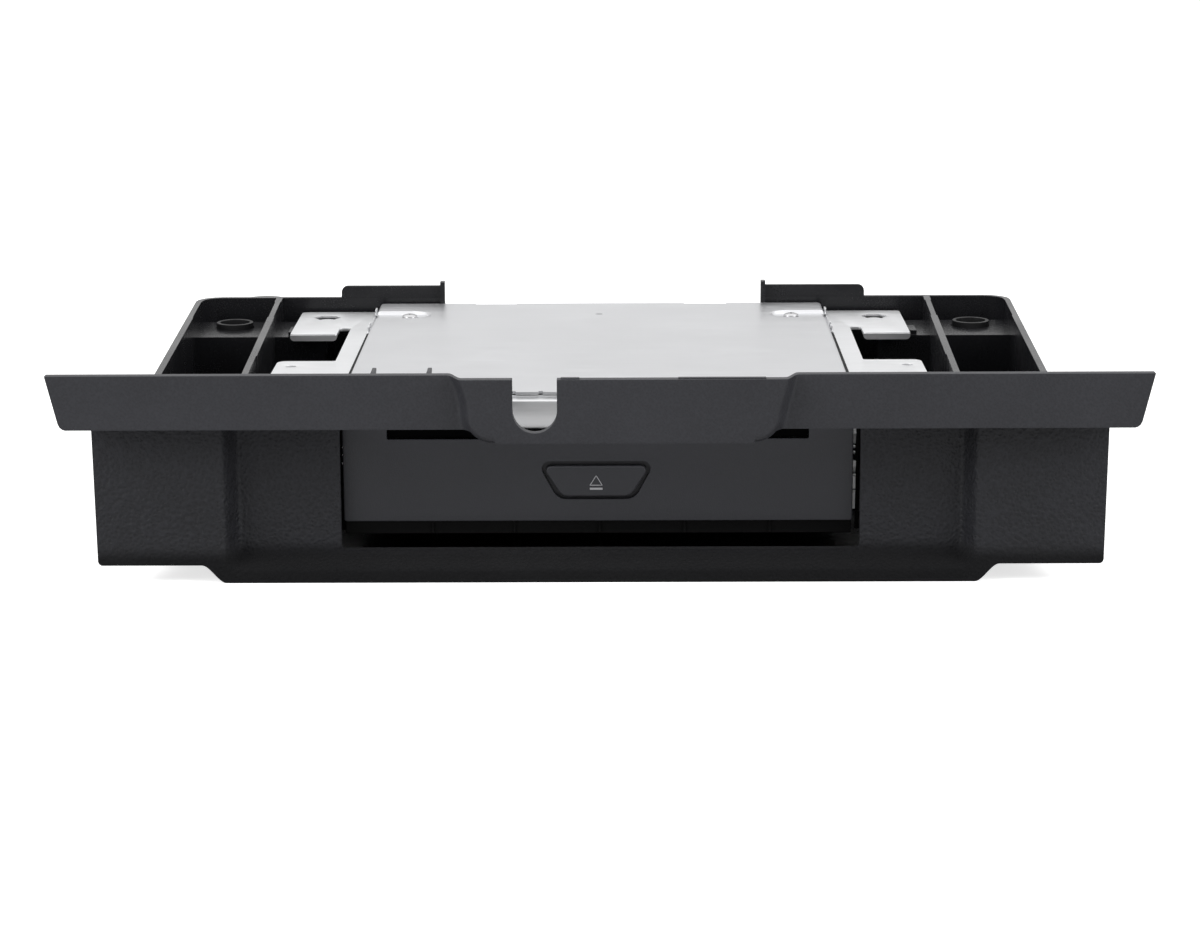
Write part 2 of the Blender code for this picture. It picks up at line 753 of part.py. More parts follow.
def screw(name, place, axis, head_side, parent):
    """A pan head screw; its head starts at place and lies towards head_side along the axis."""
    along = {"x": 0, "y": 1, "z": 2}[axis]
    start = place[along]
    across = [place[i] for i in range(3) if i != along]
    sections = [(screw_radius, -screw_length * head_side), (screw_radius, 0), (screw_head_radius, 0),
                (screw_head_radius, head_side * screw_head / 2),
                (screw_head_radius * screw_crown_share, head_side * screw_head)]
    shape = bmesh.new()
    steps = 10
    put = frames[axis]
    rings = []
    for radius, distance in sections:
        rings.append([shape.verts.new(put(u, v, start + distance))
                      for u, v in ring_points(radius, steps, across)])
    for one, two in zip(rings, rings[1:]):
        for i in range(steps):
            j = (i + 1) % steps
            shape.faces.new((one[i], one[j], two[j], two[i]))
    shape.faces.new(rings[0])
    shape.faces.new(rings[-1])
    return add_piece(name, shape, "steel", parent)


def bracket(side, name):
    """A folded side bracket: a leg on the deck and two tabs that lie on the carrier."""
    face = half_deck + gap
    top = deck_height - bracket_drop
    low = top - bracket_sheet
    section = [(face, top - bracket_leg), (face + bracket_sheet, top - bracket_leg),
               (face + bracket_sheet, low), (half_deck + bracket_reach, low),
               (half_deck + bracket_reach, top), (face, top)]
    shape = prism([(side * y, z) for y, z in section], "y", bracket_front, bracket_back)
    piece = add_piece(name, shape, "zinc_sheet", deck)
    strip = half_deck + bracket_reach - bond
    for reach, start, end, r_start, r_end in (
            (rear_tab_reach, rear_tab_front, bracket_back, tab_corner, tab_corner / 2),
            (front_tab_reach, bracket_front, front_tab_back, 0, tab_corner)):
        plan = outline([(strip, start, 0), (half_deck + reach, start, r_start),
                        (half_deck + reach, end, r_end), (strip, end, 0)])
        combine(piece, prism([(side * x, y) for x, y in plan], "z", low, top), "UNION")
    notch = block(*mirrored((strip, rear_tab_front - overrun, low - overrun),
                            (strip + relief_size[0], rear_tab_front + relief_size[1], top + overrun), side))
    combine(piece, notch, "DIFFERENCE")
    hole = ring_points(1.0, 20)
    plan = [(side * tab_hole[0] + x * tab_hole_size[0] / 2, tab_hole[1] + y * tab_hole_size[1] / 2)
            for x, y in hole]
    combine(piece, prism(plan, "z", low - overrun, top + overrun), "DIFFERENCE")
    combine(piece, rod((side * front_hole[0], front_hole[1]), front_hole_radius, "z", low - overrun,
                       top + overrun, steps=16), "DIFFERENCE")
    for y in screw_places:
        near, far = sorted((side * (face - overrun), side * (face + bracket_sheet + overrun)))
        combine(piece, rod((y, screw_height), screw_radius + screw_clearance, "x", near, far, steps=12),
                "DIFFERENCE")
    return piece


def button_outline(margin):
    """The button's face, wider at the top; a margin grows it all round."""
    wide = button_top_width / 2 + margin
    narrow = button_bottom_width / 2 + margin
    top = button_centre_z + button_height / 2 + margin
    low = button_centre_z - button_height / 2 - margin
    corner = button_corner + margin / 2
    return outline([(button_place - wide, top, corner / 2), (button_place - narrow, low, corner),
                    (button_place + narrow, low, corner), (button_place + wide, top, corner / 2)])


panel_face_y = panel_front_y - deck_front_y
panel_back_y = panel_face_y + panel_depth


def front_panel():
    """The dark front of the deck, with the disc slot cut and the button's well."""
    half = panel_width / 2
    edge = outline([(-half, panel_bottom, opening_corner), (half, panel_bottom, opening_corner),
                    (half, panel_top, 0), (slot_half, panel_top, 0), (slot_half, slot_sill, 0),
                    (-slot_half, slot_sill, 0), (-slot_half, panel_top, 0), (-half, panel_top, 0)])
    piece = add_piece("front_panel", prism(edge, "y", panel_face_y, panel_back_y), "panel_plastic", deck)
    skirt = block((-half + bond, panel_back_y - skirt_depth, gap),
                  (half - bond, panel_back_y, panel_bottom + bond))
    combine(piece, skirt, "UNION")
    inner = panel_face_y + panel_skin
    combine(piece, block((-half + panel_skin, inner, panel_bottom + panel_skin),
                         (half - panel_skin, panel_back_y + overrun, slot_sill - panel_skin)), "DIFFERENCE")
    combine(piece, prism(button_outline(button_margin), "y", panel_face_y - overrun,
                         panel_face_y + button_pocket), "DIFFERENCE")
    combine(piece, prism(button_outline(gap), "y", panel_face_y, inner + overrun), "DIFFERENCE")
    return piece


def eject_button():
    """The button, its retaining rim behind the panel, and the switch that it presses."""
    holder = place_empty("button_slide", (button_place, panel_face_y - button_proud, button_centre_z), deck)
    origin = Vector(holder.location)
    inner = panel_face_y + panel_skin
    rim_front = inner + gap
    board_y = panel_back_y - board_thick
    switch_front = board_y - gap - switch_body

    def local(shape):
        bmesh.ops.translate(shape, verts=shape.verts, vec=-origin)
        return shape

    def face_outline(inset):
        return button_outline(-inset)

    body = prism(face_outline(bond), "y", origin.y, origin.y + bond,
                 end_points=face_outline(0))
    piece = add_piece("eject_button", local(body), "button_plastic", holder)
    combine(piece, local(prism(face_outline(0), "y", origin.y + bond - gap / 3, rim_front + button_rim / 2)),
            "UNION")
    combine(piece, local(prism(button_outline(button_rim), "y", rim_front, rim_front + button_rim)),
            "UNION")
    place = (button_place, button_centre_z)
    combine(piece, local(rod(place, 2 * plunger_radius, "y", rim_front, switch_front - button_travel - gap,
                             steps=16)), "UNION")
    tip = switch_front - button_travel
    plunger = rod(place, plunger_radius, "y", tip, switch_front + switch_body / 3, steps=16)
    add_piece("switch_plunger", local(plunger), "black_plastic", holder)
    switch = block((button_place - switch_half, switch_front, button_centre_z - switch_half),
                   (button_place + switch_half, board_y - gap, button_centre_z + switch_half))
    body = add_piece("eject_switch", switch, "steel", deck)
    combine(body, rod(place, plunger_radius + gap, "y", switch_front - overrun,
                      board_y - 2 * gap, steps=16), "DIFFERENCE")
    add_piece("button_board", block((-board_half, board_y, board_bottom),
                                    (board_half, panel_back_y, board_top)), "circuit_board", deck)


def dust_flap():
    """The felt lined flap that closes the slot, on two end pins."""
    axis = (0, flap_axis_y, flap_axis_z)
    piece = add_piece("dust_flap", rod((0, 0), flap_barrel, "x", -flap_half, flap_half, steps=12),
                      "black_plastic", place_empty("flap_hinge", axis, deck))
    combine(piece, block((-flap_half, -flap_barrel, flap_bottom - flap_axis_z),
                         (flap_half, -flap_barrel + flap_wall, 0)), "UNION")
    combine(piece, rod((0, 0), flap_pin, "x", -flap_half - 2 * flap_lug, flap_half + 2 * flap_lug,
                       steps=8), "UNION")
    return piece


roller_z = disc_underside - gap - roller_radius
idler_z = roller_z - (roller_teeth + idler_teeth) * gear_module / 2
pinion_z = idler_z - (idler_teeth + pinion_teeth) * gear_module / 2
frame_plate_z = pinion_z - loading_motor_radius - gap - frame_sheet


def loading_drive():
    """The rubber roller that draws a disc in, its gears, motor and frame."""
    end = gear_plane + gear_width
    axle = place_empty("roller_axle", (0, roller_y, roller_z), deck)
    roller = add_piece("load_roller", rod((0, 0), roller_radius, "x", -roller_half, roller_half, steps=20),
                       "rubber", axle)
    combine(roller, rod((0, 0), roller_shaft, "x", -frame_half - gap - upright_wall, end + roller_shaft,
                        steps=12), "UNION")
    gear = prism(gear_points(roller_teeth, gear_module, (0, 0)), "x", gear_plane, end)
    piece = add_piece("roller_gear", gear, "white_plastic", axle)
    combine(piece, rod((0, 0), roller_shaft + gap / 2, "x", gear_plane - overrun, end + overrun, steps=12),
            "DIFFERENCE")
    half_tooth = math.pi / idler_teeth
    axle = place_empty("idler_axle", (0, roller_y, idler_z), deck)
    axle.rotation_euler.x = half_tooth
    gear = prism(gear_points(idler_teeth, gear_module, (0, 0)), "x", gear_plane, end)
    piece = add_piece("idler_gear", gear, "white_plastic", axle)
    combine(piece, rod((0, 0), roller_shaft + gap, "x", gear_plane - overrun, end + overrun, steps=12),
            "DIFFERENCE")
    axle = place_empty("pinion_axle", (0, roller_y, pinion_z), deck)
    axle.rotation_euler.x = math.pi / pinion_teeth
    gear = prism(gear_points(pinion_teeth, gear_module, (0, 0)), "x", gear_plane, end)
    piece = add_piece("load_pinion", gear, "steel", axle)
    motor_end = loading_motor_span[1]
    combine(piece, rod((0, 0), motor_shaft, "x", motor_end + gap, end, steps=12), "UNION")

    plate_top = frame_plate_z + frame_sheet
    inner = frame_half - 6 * upright_wall
    frame = add_piece("loader_frame", block((-inner, upright_front, frame_plate_z),
                                            (inner, frame_back, plate_top)), "black_plastic", deck)
    combine(frame, block((-frame_half, upright_front, frame_plate_z),
                         (frame_half, upright_back, plate_top)), "UNION")
    for side in (-1, 1):
        post = block(*mirrored((frame_half - upright_wall, upright_front, frame_plate_z),
                               (frame_half, upright_back, upright_top), side))
        combine(frame, post, "UNION")
        near, far = sorted((side * (frame_half - 2 * upright_wall), side * (frame_half + overrun)))
        combine(frame, rod((roller_y, roller_z), roller_shaft + gap, "x", near, far, steps=12), "DIFFERENCE")
        for y in (upright_front, frame_back - 2 * upright_wall):
            foot = block(*mirrored((inner - upright_wall, y, sheet + gap),
                                   (inner - bond, y + upright_wall, plate_top), side))
            combine(frame, foot, "UNION")
    combine(frame, rod((roller_y, idler_z), roller_shaft, "x", frame_half - upright_wall / 2, end, steps=12),
            "UNION")
    combine(frame, rod((roller_y, pinion_z), 2 * motor_shaft, "x", frame_half - 2 * upright_wall,
                       frame_half + overrun, steps=12), "DIFFERENCE")
    combine(frame, rod(lift_motor_place, 3 * motor_shaft, "z", frame_plate_z - overrun,
                       plate_top + overrun, steps=12), "DIFFERENCE")
    add_piece("loading_motor", rod((roller_y, pinion_z), loading_motor_radius, "x", *loading_motor_span,
                                   steps=24), "motor_can", deck)
    add_piece("disc_guide", block((-frame_half, upright_front, upright_top + gap),
                                  (frame_half, upright_back, upright_top + gap + guide_thick)),
              "black_plastic", deck)


posts = {"front_left": (-post_front[0], post_front[1]), "front_right": post_front,
         "rear_left": (-post_rear[0], post_rear[1]), "rear_right": post_rear}


def disc_tray():
    """One thin disc tray as a mesh that all six trays share, worked out once and applied."""
    centre = (0, store_centre_y)
    tray = add_piece("tray_form", rod(centre, tray_radius, "z", 0, tray_thick, steps=28), "black_plastic")
    for place in posts.values():
        lug = rod(place, tray_lug, "z", 0, tray_thick, steps=10)
        combine(tray, lug, "UNION")
        aim = Vector(centre) - Vector(place)
        across = aim.normalized().orthogonal() * tray_arm_half
        near, far = Vector(place), Vector(place) + aim / 2
        arm = prism([near + across, far + across, far - across, near - across], "z", 0, tray_thick)
        combine(tray, arm, "UNION")
        combine(tray, rod(place, post_radius + post_clearance, "z", -overrun, tray_thick + overrun,
                          steps=10), "DIFFERENCE")
    combine(tray, rod(centre, tray_hole, "z", -overrun, tray_thick + overrun, steps=14), "DIFFERENCE")
    aim = (Vector(arm_pivot) - Vector(centre)).normalized()
    across = aim.orthogonal() * tray_slot_half
    start, end = Vector(centre), Vector(centre) + aim * tray_slot_end
    combine(tray, prism([start + across, end + across, end - across, start - across], "z", -overrun,
                        tray_thick + overrun), "DIFFERENCE")
    bpy.context.view_layer.update()
    view = bpy.context.evaluated_depsgraph_get()
    mesh = bpy.data.meshes.new_from_object(tray.evaluated_get(view))
    mesh.name = "disc_tray"
    for tool in [step.object for step in tray.modifiers] + [tray]:
        bpy.data.objects.remove(tool, do_unlink=True)
    return mesh


slot_tray_z = disc_underside - tray_thick


def disc_store():
    """Six trays on four lift posts, with the belt and motor that turn the posts."""
    mesh = disc_tray()
    for index in range(tray_count):
        if index < trays_below:
            height = tray_low_z + index * tray_pitch
        else:
            height = slot_tray_z + (index - trays_below) * tray_pitch
        piece = bpy.data.objects.new(f"disc_tray_{index + 1}", mesh)
        piece.parent = deck
        piece.location.z = height
        bpy.context.collection.objects.link(piece)
    for name, place in posts.items():
        axle = place_empty(f"post_axle_{name}", (*place, 0), deck)
        shape = rod((0, 0), post_radius, "z", post_bottom, post_top, steps=10)
        piece = add_piece(f"lift_post_{name}", shape, "steel", axle)
        combine(piece, rod((0, 0), pulley_radius, "z", *pulley_z, steps=16), "UNION")
    axle = place_empty("lift_motor_axle", (*lift_motor_place, 0), deck)
    motor_z = frame_plate_z + frame_sheet + gap
    piece = add_piece("lift_pulley", rod((0, 0), pulley_radius, "z", *pulley_z, steps=24), "white_plastic",
                      axle)
    combine(piece, rod((0, 0), motor_shaft, "z", pulley_z[0], motor_z - gap, steps=12), "UNION")
    add_piece("lift_motor", rod(lift_motor_place, lift_motor_radius, "z", motor_z,
                                motor_z + lift_motor_height, steps=24), "motor_can", deck)
    inner = belt_run(pulley_radius + gap)
    outer = belt_run(pulley_radius + gap + belt_thick)
    belt = add_piece("lift_belt", prism(outer, "z", *belt_z), "rubber", deck)
    combine(belt, prism(inner, "z", belt_z[0] - overrun, belt_z[1] + overrun), "DIFFERENCE")


def belt_run(distance):
    """Outline of the belt round the four posts at a distance from their centres."""
    loop = [Vector(posts[name]) for name in ("front_left", "front_right", "rear_right", "rear_left")]
    points = []
    for index, here in enumerate(loop):
        before, after = loop[index - 1], loop[(index + 1) % len(loop)]
        arrive = (here - before).normalized()
        leave = (after - here).normalized()
        start = Vector((arrive.y, -arrive.x))
        end = Vector((leave.y, -leave.x))
        points += [here + start.slerp(end, i / round_steps) * distance for i in range(round_steps + 1)]
    return points


def play_arm():
    """The swinging play arm with its spindle, turntable, pickup sled, rods and feed motor."""
    px, py = arm_pivot
    tip_y = py - arm_length
    pivot = place_empty("arm_pivot_axis", (px, py, 0), deck)

    def along(distance):
        return distance - arm_length

    shaft = add_piece("arm_shaft", rod((px, py), pivot_radius, "z", sheet + gap, arm_shaft_top, steps=16),
                      "steel", deck)
    combine(shaft, rod((px, py), pivot_collar, "z", sheet + gap, swing_gear_z[0] - gap, steps=16), "UNION")
    plan = outline([(-arm_half, along(-arm_half), arm_half / 2), (arm_half, along(-arm_half), arm_half / 2),
                    (arm_half, arm_half, arm_half / 2), (-arm_half, arm_half, arm_half / 2)])
    top = arm_plate_z + arm_sheet
    arm = add_piece("arm_plate", prism(plan, "z", arm_plate_z, top), "zinc_sheet", pivot)
    slot = block((-slot_in_arm_half, along(sled_start - sled_length / 2), arm_plate_z - overrun),
                 (slot_in_arm_half, along(sled_start + sled_travel + sled_length / 2), top + overrun))
    combine(arm, slot, "DIFFERENCE")
    combine(arm, rod((0, 0), pivot_collar, "z", swing_gear_z[1] + gap, top + arm_half / 2, steps=16),
            "UNION")
    combine(arm, rod((0, along(0)), 2 * motor_shaft, "z", arm_plate_z - overrun, top + overrun, steps=12),
            "DIFFERENCE")
    for distance in (rod_span[0], rod_span[1]):
        lug = block((-arm_half + bond, along(distance), rod_z - 2 * rod_radius),
                    (arm_half - bond, along(distance) + rod_lug, arm_plate_z + bond))
        combine(arm, lug, "UNION")
        for x in (-rod_offset, rod_offset):
            combine(arm, rod((x, rod_z), rod_radius + gap, "y", along(distance) - overrun,
                             along(distance) + rod_lug + overrun, steps=12), "DIFFERENCE")
    combine(arm, rod((0, 0), pivot_radius + gap, "z", swing_gear_z[0], top + arm_half, steps=16),
            "DIFFERENCE")
    teeth = gear_points(arm_gear_teeth, swing_module, (0, 0))
    gear = add_piece("arm_gear", prism(teeth, "z", *swing_gear_z), "white_plastic", pivot)
    combine(gear, rod((0, 0), pivot_radius + gap, "z", swing_gear_z[0] - overrun,
                      swing_gear_z[1] + overrun, steps=16), "DIFFERENCE")
    low = arm_plate_z - gap
    add_piece("spindle_motor", rod((0, along(0)), spindle_motor_radius, "z", low - spindle_motor_height,
                                   low, steps=28), "motor_can", pivot)
    spin = place_empty("turntable_axis", (0, along(0), 0), pivot)
    table = add_piece("turntable", rod((0, 0), turntable_radius, "z", top + gap, top + gap + arm_sheet,
                                       steps=28), "black_plastic", spin)
    combine(table, rod((0, 0), hub_radius, "z", top + 2 * gap, turntable_top, steps=24), "UNION")
    combine(table, rod((0, 0), motor_shaft, "z", arm_plate_z, top + 2 * gap, steps=12), "UNION")

    sled_holder = place_empty("sled_slide", (0, along(sled_start), 0), pivot)
    floor = arm_plate_z - gap - sled_height
    sled = add_piece("pickup_sled", block((-sled_half, -sled_length / 2, floor),
                                          (sled_half, sled_length / 2, arm_plate_z - gap)),
                     "black_plastic", sled_holder)
    combine(sled, block((-slot_in_arm_half + running_gap, -sled_length / 2 + overrun, floor + sheet),
                        (slot_in_arm_half - running_gap, sled_length / 2 - overrun, top + sheet)), "UNION")
    for x in (-rod_offset, rod_offset):
        combine(sled, rod((x, rod_z), rod_radius + gap, "y", -sled_length, sled_length, steps=12),
                "DIFFERENCE")
    lens = rod((0, 0), lens_radius, "z", top + sheet + gap, top + lens_rise, steps=20)
    add_piece("pickup_lens", lens, "lens_glass", sled_holder)
    start, end = (along(rod_span[0]), along(rod_span[1]) + rod_lug)
    add_piece("guide_rod", rod((-rod_offset, rod_z), rod_radius, "y", start, end, steps=12), "steel", pivot)
    screw_axle = place_empty("lead_screw_axis", (rod_offset, 0, rod_z), pivot)
    feed_start = end + gap
    add_piece("lead_screw", rod((0, 0), rod_radius, "y", start, end, steps=12), "steel", screw_axle)
    add_piece("feed_motor", rod((rod_offset, rod_z), feed_motor_radius, "y", feed_start,
                                feed_start + feed_motor_length, steps=20), "motor_can", pivot)
    reach = (arm_gear_teeth + swing_teeth) * swing_module / 2
    bearing = math.radians(swing_bearing_degrees)
    place = (px + reach * math.cos(bearing), py + reach * math.sin(bearing))
    wheel = place_empty("swing_axis", (*place, 0), deck)
    followed = bearing * arm_gear_teeth / (2 * math.pi) % 1
    wheel.rotation_euler.z = bearing + math.pi + (2 * math.pi / swing_teeth) * (0.5 + followed)
    pinion = add_piece("swing_pinion", prism(gear_points(swing_teeth, swing_module, (0, 0)), "z",
                                             *swing_gear_z), "white_plastic", wheel)
    combine(pinion, rod((0, 0), motor_shaft, "z", swing_motor_top + gap, swing_gear_z[1], steps=12), "UNION")
    add_piece("swing_motor", rod(place, swing_motor_radius, "z", sheet + gap, swing_motor_top, steps=24),
              "motor_can", deck)


def electronics():
    """The main board and its socket, which looks out of the back."""
    back = deck_depth - 2 * sheet - gap
    left, right = main_board_span
    low, high = main_board_z
    add_piece("main_board", block((left, main_board_y, low), (right, main_board_y + board_thick, high)),
              "circuit_board", deck)
    socket = add_piece("rear_socket", block((socket_span[0], main_board_y + board_thick + gap, socket_z[0]),
                                            (socket_span[1], back + socket_out, socket_z[1])),
                       "black_plastic", deck)
    combine(socket, block((socket_span[0] + socket_wall, back - socket_out / 2, socket_z[0] + socket_wall),
                          (socket_span[1] - socket_wall, back + socket_out + overrun,
                           socket_z[1] - socket_wall)), "DIFFERENCE")


def fixings():
    """Sleeves in the corner bosses and every screw that shows or holds."""
    for side, word in ((-1, "left"), (1, "right")):
        centre = (side * sleeve_centre, deck_front_y + sleeve_depth_in_deck)
        low = corner_boss_z - sleeve_length + gap
        sleeve_top = corner_boss_z + sleeve_stand
        sleeve = add_piece(f"boss_sleeve_{word}", rod(centre, sleeve_radius, "z", low, sleeve_top, steps=28),
                           "black_plastic")
        combine(sleeve, rod(centre, sleeve_bore, "z", low - overrun, sleeve_top + overrun, steps=28),
                "DIFFERENCE")
        face = half_deck + gap + bracket_sheet + gap
        for y, where in zip(screw_places, ("front", "rear")):
            screw(f"bracket_screw_{word}_{where}", (side * face, y, screw_height), "x", side, deck)
        top = deck_height - pocket_depth + gap
        screw(f"cover_screw_{word}", (side * (half_deck - cover_screw_inset), cover_screw_depth, top),
              "z", 1, deck)
        for height, where in zip(boss_heights, ("lower", "upper")):
            place = (side * (plate_width / 2 - boss_inset), plate_back_y + boss_length + gap, height)
            screw(f"fascia_screw_{word}_{where}", place, "y", 1, None)


def smooth_rounds():
    """Shade every piece smooth where its faces meet at a shallow angle, after all its Booleans."""
    group = bpy.data.node_groups.new("smooth_rounds", "GeometryNodeTree")
    for way in ("INPUT", "OUTPUT"):
        group.interface.new_socket("Geometry", in_out=way, socket_type="NodeSocketGeometry")
    start = group.nodes.new("NodeGroupInput")
    end = group.nodes.new("NodeGroupOutput")
    faces = group.nodes.new("GeometryNodeSetShadeSmooth")
    edges = group.nodes.new("GeometryNodeSetShadeSmooth")
    edges.domain = "EDGE"
    edges.inputs["Shade Smooth"].default_value = False
    angle = group.nodes.new("GeometryNodeInputMeshEdgeAngle")
    sharp = group.nodes.new("FunctionNodeCompare")
    sharp.operation = "GREATER_THAN"
    sharp.inputs[1].default_value = math.radians(sharp_degrees)
    group.links.new(angle.outputs["Unsigned Angle"], sharp.inputs[0])
    group.links.new(sharp.outputs[0], edges.inputs["Selection"])
    group.links.new(start.outputs[0], faces.inputs["Geometry"])
    group.links.new(faces.outputs[0], edges.inputs["Geometry"])
    group.links.new(edges.outputs[0], end.inputs[0])
    for piece in bpy.data.objects:
        if piece.type == "MESH" and not piece.hide_render:
            piece.modifiers.new("smooth_rounds", "NODES").node_group = group


fascia()
carrier()
chassis()
cover()
bracket(-1, "side_bracket_left")
bracket(1, "side_bracket_right")
front_panel()
eject_button()
dust_flap()
loading_drive()
disc_store()
play_arm()
electronics()
fixings()
smooth_rounds()
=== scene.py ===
# A disc changer deck in its console moulding, dressed with real finishes under soft studio light.

import json
import math

import bmesh
import bpy
from mathutils import Matrix, Vector

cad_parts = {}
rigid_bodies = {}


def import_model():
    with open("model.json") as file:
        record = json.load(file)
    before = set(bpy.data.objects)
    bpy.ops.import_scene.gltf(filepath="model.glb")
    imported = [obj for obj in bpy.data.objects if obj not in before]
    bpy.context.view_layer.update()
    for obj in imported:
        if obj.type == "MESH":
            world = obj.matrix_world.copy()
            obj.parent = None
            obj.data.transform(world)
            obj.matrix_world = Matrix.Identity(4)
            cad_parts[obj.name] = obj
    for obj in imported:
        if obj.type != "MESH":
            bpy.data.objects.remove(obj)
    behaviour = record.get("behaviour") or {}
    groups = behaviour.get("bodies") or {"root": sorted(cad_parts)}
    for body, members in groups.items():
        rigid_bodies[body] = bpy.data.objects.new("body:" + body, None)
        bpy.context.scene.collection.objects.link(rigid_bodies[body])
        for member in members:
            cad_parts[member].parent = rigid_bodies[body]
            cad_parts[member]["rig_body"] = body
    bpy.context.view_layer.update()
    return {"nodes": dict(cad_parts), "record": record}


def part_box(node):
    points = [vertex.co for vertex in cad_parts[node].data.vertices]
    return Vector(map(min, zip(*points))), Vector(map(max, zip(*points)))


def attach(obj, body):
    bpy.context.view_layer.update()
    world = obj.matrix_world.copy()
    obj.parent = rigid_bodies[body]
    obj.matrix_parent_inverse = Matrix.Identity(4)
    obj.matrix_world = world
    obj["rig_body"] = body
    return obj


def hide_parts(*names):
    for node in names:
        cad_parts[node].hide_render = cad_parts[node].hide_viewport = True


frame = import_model()


class Value:
    """A node socket that takes part in Python expressions."""

    def __init__(self, finish, socket):
        self.finish = finish
        self.socket = socket

    def math(self, operation, first, second):
        node = self.finish.add("ShaderNodeMath", {"operation": operation}, {0: first, 1: second})
        return Value(self.finish, node.outputs[0])

    def __add__(self, other):
        return self.math("ADD", self, other)

    def __rsub__(self, other):
        return self.math("SUBTRACT", other, self)

    def __mul__(self, other):
        return self.math("MULTIPLY", self, other)


class Finish:
    """A procedural material, with its pattern helpers on Object coordinates."""

    def __init__(self, name, **constants):
        self.material = bpy.data.materials.new(name)
        self.material.use_nodes = True
        self.tree = self.material.node_tree
        self.shader = self.tree.nodes["Principled BSDF"]
        for socket, value in constants.items():
            self.shader.inputs[socket.replace("_", " ")].default_value = value
        self.place = Value(self, self.add("ShaderNodeTexCoord").outputs["Object"])

    def add(self, kind, settings=None, sockets=None):
        node = self.tree.nodes.new(kind)
        for key, value in (settings or {}).items():
            setattr(node, key, value)
        for key, value in (sockets or {}).items():
            if isinstance(value, Value):
                self.tree.links.new(value.socket, node.inputs[key])
            else:
                node.inputs[key].default_value = value
        return node

    def stretched(self, scale):
        node = self.add("ShaderNodeVectorMath", {"operation": "MULTIPLY"},
                        {0: self.place, 1: scale})
        return Value(self, node.outputs[0])

    def noise(self, scale, detail=2.0, at=None):
        node = self.add("ShaderNodeTexNoise", {},
                        {"Vector": at or self.place, "Scale": scale, "Detail": detail})
        return Value(self, node.outputs[0])

    def cells(self, scale, at=None):
        node = self.add("ShaderNodeTexVoronoi", {"feature": "SMOOTH_F1"},
                        {"Vector": at or self.place, "Scale": scale, "Smoothness": 0.6})
        return Value(self, node.outputs["Distance"])

    def limited(self, value, low, high, to_low=0.0, to_high=1.0):
        node = self.add("ShaderNodeMapRange", {"interpolation_type": "SMOOTHSTEP"},
                        {"Value": value, "From Min": low, "From Max": high,
                         "To Min": to_low, "To Max": to_high})
        return Value(self, node.outputs["Result"])

    def height(self):
        node = self.add("ShaderNodeSeparateXYZ", {}, {0: self.place})
        return Value(self, node.outputs["Z"])

    def blend(self, share, dark, light):
        dark, light = (c if isinstance(c, Value) else (*c, 1.0) for c in (dark, light))
        node = self.add("ShaderNodeMix", {"data_type": "RGBA"}, {0: share, 6: dark, 7: light})
        return Value(self, node.outputs[2])

    def paint(self, **links):
        for socket, value in links.items():
            self.tree.links.new(value.socket, self.shader.inputs[socket.replace("_", " ")])

    def relief(self, height, distance, strength=1.0):
        node = self.add("ShaderNodeBump", {}, {"Height": height, "Distance": distance, "Strength": strength})
        self.paint(Normal=Value(self, node.outputs["Normal"]))


def moulded(name, colour, grain_scale, grain_height, rough, patchy=0.15, painted_shade_and_dull_below=None, sheen=0.42):
    """Moulded plastic with a fine spark grain, faint cloudiness and slightly worn sheen; given a height band,
    it also paints shade towards the bottom, darkening the colour to a quarter, and dulls the surface there.
    """
    finish = Finish(name, Specular_IOR_Level=sheen)
    clouds = finish.noise(28, 3)
    grain = finish.cells(grain_scale)
    speck = finish.noise(grain_scale * 2.2, 2)
    dark = tuple(c * (1 - patchy) for c in colour)
    light = tuple(c * (1 + patchy) for c in colour)
    share = finish.limited(clouds * 0.45 + grain * 0.35 + speck * 0.35, 0.25, 0.85)
    tone = finish.blend(share, dark, light)
    dullness = finish.limited(clouds + speck * 0.5, 0.4, 1.1, rough - 0.06, rough + 0.07)
    # Painted shade: below the given height band the colour darkens to a quarter, and the roughness rises
    # towards 0.98.
    if painted_shade_and_dull_below:
        low = 1 - finish.limited(finish.height(), *painted_shade_and_dull_below)
        tone = finish.blend(low, tone, tuple(c * 0.25 for c in colour))
        dullness = dullness + low * (0.98 - rough)
    finish.paint(Base_Color=tone, Roughness=dullness)
    finish.relief(grain * 0.7 + speck * 0.5, grain_height)
    return finish.material


def rolled(name, colour, rough, line_scale, along=(1, 12, 12), spangle=0.0):
    """Rolled sheet metal: fine lines one way, faint clouding and small scuffs."""
    finish = Finish(name, Metallic=1.0)
    lines = finish.noise(line_scale, 4, finish.stretched(along))
    clouds = finish.noise(22, 3)
    scuffs = finish.limited(finish.noise(160, 5, finish.stretched((1.0, 0.25, 1.0))), 0.62, 0.75)
    crystal = finish.cells(210)
    share = finish.limited(lines * 0.7 + clouds * 0.3 + crystal * spangle, 0.25, 0.8 + spangle * 0.5)
    dark = tuple(c * 0.94 for c in colour)
    finish.paint(Base_Color=finish.blend(share, dark, colour),
                 Roughness=finish.limited(lines * 0.7 + clouds * 0.3, 0.3, 0.7, rough - 0.03, rough + 0.04)
                 + scuffs * 0.04)
    finish.relief(lines, 0.00002, 0.5)
    return finish.material


def soft_rubber(name, colour):
    """Dull rubber with a faint bloom."""
    finish = Finish(name, Specular_IOR_Level=0.3)
    bloom = finish.limited(finish.noise(120, 4), 0.4, 0.7)
    finish.paint(Base_Color=finish.blend(bloom, colour, tuple(c * 1.6 for c in colour)),
                 Roughness=bloom * 0.1 + 0.72)
    finish.relief(finish.noise(2400, 2), 0.00003, 0.6)
    return finish.material


